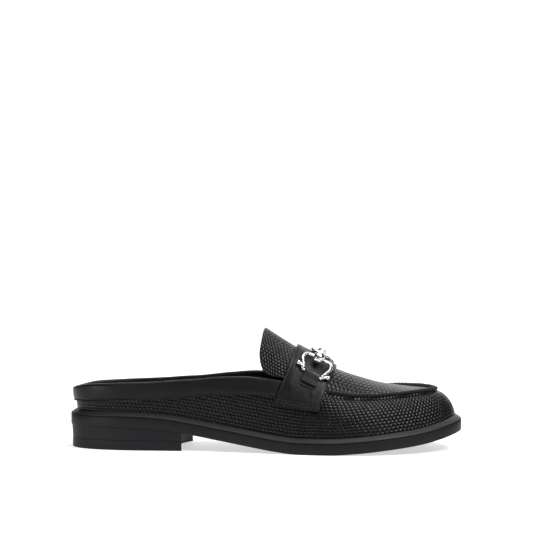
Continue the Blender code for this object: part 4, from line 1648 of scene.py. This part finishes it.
@dataclass
class Ornament:
    """The two half-rings with ball ends and the link between them."""

    trims: Trims
    finishes: Finishes
    ring_radius: float = 0.00125
    half_width: float = 0.0109
    arm: float = 0.0038
    top: float = 0.0131
    foot: float = 0.0077
    ball: float = 0.0016
    ball_out: float = 0.0118
    barrel: float = 0.0038
    barrel_down: float = 0.0150
    neck: float = 0.0012
    eye_length: float = 0.0150
    eye_width: float = 0.0060
    eye_radius: float = 0.0010

    def build_arm(self, side: Side, way: int, name: str) -> Piece:
        """Makes one bent arm of a half-ring, from the barrel out to its ball end.

        Args:
            side: Its side.
            way: -1 for the back arm, 1 for the front one.
            name: The piece's name.

        Returns:
            The arm.
        """
        w, r, top = self.half_width, self.ring_radius, self.top
        fall = self.trims.bar_down - top
        steps = [
            (self.arm, 0.0, 0.85), (0.72 * w, 0.0, 1.0), (0.90 * w, 0.08, 1.1), (0.99 * w, 0.23, 1.1),
            (w, 0.37, 1.05), (0.95 * w, 0.50, 0.95), (0.85 * w, 0.64, 0.85), (0.75 * w, 0.78, 0.85),
            (self.foot, 0.93, 1.15), (self.foot + 0.9 * r, 0.90, 0.75),
        ]
        for k in range(5):
            angle = math.radians(40 + 31 * k)
            steps.append((self.ball_out - self.ball * math.cos(angle), 0.82, self.ball * math.sin(angle) / r))
        lift = self.trims.last.gap + self.ball
        points = np.array([
            self.trims.strap_point(side, way * a, top + b * (fall + way * a * self.trims.bar_slope), lift)
            for a, b, _ in steps
        ])
        run = run_along(points)
        path = through(points, 90)
        even = run_along(path)
        radii = steady(run, np.array([c for _, _, c in steps]))(even * run[-1] / even[-1])
        return rod(name, path, radii * r, 20)

    def build_ring(self, side: Side, node: str) -> None:
        """Makes a half-ring of two arms, and the bar that its keeper holds.

        Args:
            side: Its side.
            node: The CAD node that it replaces.
        """
        trims, name = self.trims, side.name.lower()
        for way, part in ((-1, "back"), (1, "front")):
            piece = self.build_arm(side, way, f"half_ring_{name}_{part}")
            dress(piece, 60.0, self.finishes.metal, *([node] if way < 0 else []))
        height = trims.last.gap + trims.bar_radius
        path = [
            trims.strap_point(side, a, trims.bar_down + trims.bar_slope * a, height)
            for a in self.foot * np.linspace(-1, 1, 5)
        ]
        pin = rod(f"ring_bar_{name}", through(np.array(path), 13), np.full(13, trims.bar_radius))
        dress(pin, 60.0, self.finishes.metal)

    def build_link(self) -> None:
        """Makes the bar over the ridge with a barrel on either side, and the eye on the ridge."""
        gap, r = self.trims.last.gap, self.barrel
        lift, low = gap + r, gap + self.neck
        shares = (
            (1.30, 0.22, lift), (1.26, 0.55, lift), (1.14, 0.68, lift), (1.00, 0.62, lift),
            (0.93, 0.50, lift), (0.86, 0.60, lift), (0.72, 0.80, lift), (0.42, 0.96, lift),
            (0.10, 1.00, lift), (-0.20, 0.98, lift), (-0.52, 0.88, lift), (-0.80, 0.68, lift),
            (-1.05, 0.44, lift), (-1.60, 0.36, (lift + low) / 2), (-2.40, 0.35, low),
        )
        path, radii = [], []
        for side, ways in ((Side.OUTER, shares), (Side.INNER, shares[::-1])):
            for reach, share, height in ways:
                path.append(self.trims.strap_point(side, 0.0, self.barrel_down + reach * r, height))
                radii.append(share * r)
            if side is Side.OUTER:
                path.append(self.trims.strap_point(side, 0.0, 0.0, low))
                radii.append(self.neck)
        piece = rod("link_barrels", np.array(path), np.array(radii), 24)
        dress(piece, 50.0, self.finishes.metal, "bit_link")
        loop = []
        for angle in np.linspace(0, 2 * np.pi, 49)[:-1]:
            side = Side.INNER if angle < np.pi else Side.OUTER
            ahead = self.eye_length / 2 * math.cos(angle)
            down = self.eye_width / 2 * abs(math.sin(angle))
            loop.append(self.trims.strap_point(side, ahead, down, gap + self.eye_radius))
        eye = rod("link_eye", np.array(loop), np.full(48, self.eye_radius), 14, looped=True)
        dress(eye, 60.0, self.finishes.metal)

    def build(self) -> None:
        """Makes the ornament."""
        self.build_ring(Side.OUTER, "bit_ring_lateral")
        self.build_ring(Side.INNER, "bit_ring_medial")
        self.build_link()


@dataclass
class Studio:
    """The floor, the soft lights and the camera."""

    distance: float = 1.0
    azimuth: float = 5.0
    height: float = 0.122
    frame_width: float = 0.36136
    shift: float = 0.0036
    ambient: float = 0.05

    def build_floor(self) -> None:
        """Makes the floor."""
        deselect()
        bpy.ops.mesh.primitive_plane_add(size=12.0, location=(0.0, 0.0, 0.0))
        floor = bpy.context.object
        floor.name = "floor"
        floor.data.materials.append(PaleFloor().make())

    def light(self, name: str, place: Sequence[float], size: Sequence[float], power: float) -> None:
        """Adds a soft light that faces the shoe.

        Args:
            name: Its name.
            place: Its middle.
            size: Its two sides.
            power: Its power in watts.
        """
        data = bpy.data.lights.new(name, "AREA")
        data.shape = "RECTANGLE"
        data.size, data.size_y = size
        data.energy = power
        lamp = placed(name, data)
        lamp.location = place
        aim = np.array([0.0, 0.0, 0.03]) - np.array(place)
        lamp.rotation_euler = Vector(aim).to_track_quat("-Z", "Y").to_euler()

    def build_lights(self) -> None:
        """Makes the lights and the pale surroundings."""
        for name, place, size, power in LIGHTS:
            self.light(name, place, size, power)
        world = bpy.data.worlds.new("surroundings")
        world.use_nodes = True
        tree = world.node_tree
        back, pale = tree.nodes["Background"], tree.nodes.new("ShaderNodeBackground")
        for node, strength in ((back, self.ambient), (pale, 1.0)):
            node.inputs["Color"].default_value = (1.0, 1.0, 1.0, 1.0)
            node.inputs["Strength"].default_value = strength
        seen, mixed = tree.nodes.new("ShaderNodeLightPath"), tree.nodes.new("ShaderNodeMixShader")
        for k, socket in enumerate((seen.outputs["Is Camera Ray"], back.outputs[0], pale.outputs[0])):
            tree.links.new(socket, mixed.inputs[k])
        tree.links.new(mixed.outputs[0], tree.nodes["World Output"].inputs[0])
        bpy.context.scene.world = world

    def build_camera(self) -> None:
        """Makes the level camera at the photograph's angle."""
        data = bpy.data.cameras.new("camera")
        data.sensor_width = 36.0
        data.lens = 36.0 * self.distance / self.frame_width
        data.shift_x = self.shift
        data.dof.use_dof = False
        camera = placed("camera", data)
        angle = math.radians(self.azimuth)
        camera.location = (self.distance * math.sin(angle), -self.distance * math.cos(angle), self.height)
        camera.rotation_euler = (math.radians(90), 0.0, angle)
        bpy.context.scene.camera = camera
        bpy.context.scene.view_settings.view_transform = "Standard"

    def build(self) -> None:
        """Makes the studio."""
        self.build_floor()
        self.build_lights()
        self.build_camera()


def main() -> None:
    """Builds the studio and the shoe."""
    logging.basicConfig(level=logging.INFO, format="%(name)s %(message)s")
    Studio().build()
    last, finishes = Last(), Finishes()
    Sole(last, finishes).build()
    Upper(last, finishes).build()
    trims = Trims(last, finishes)
    trims.build()
    Ornament(trims, finishes).build()


if __name__ == "__main__":
    main()
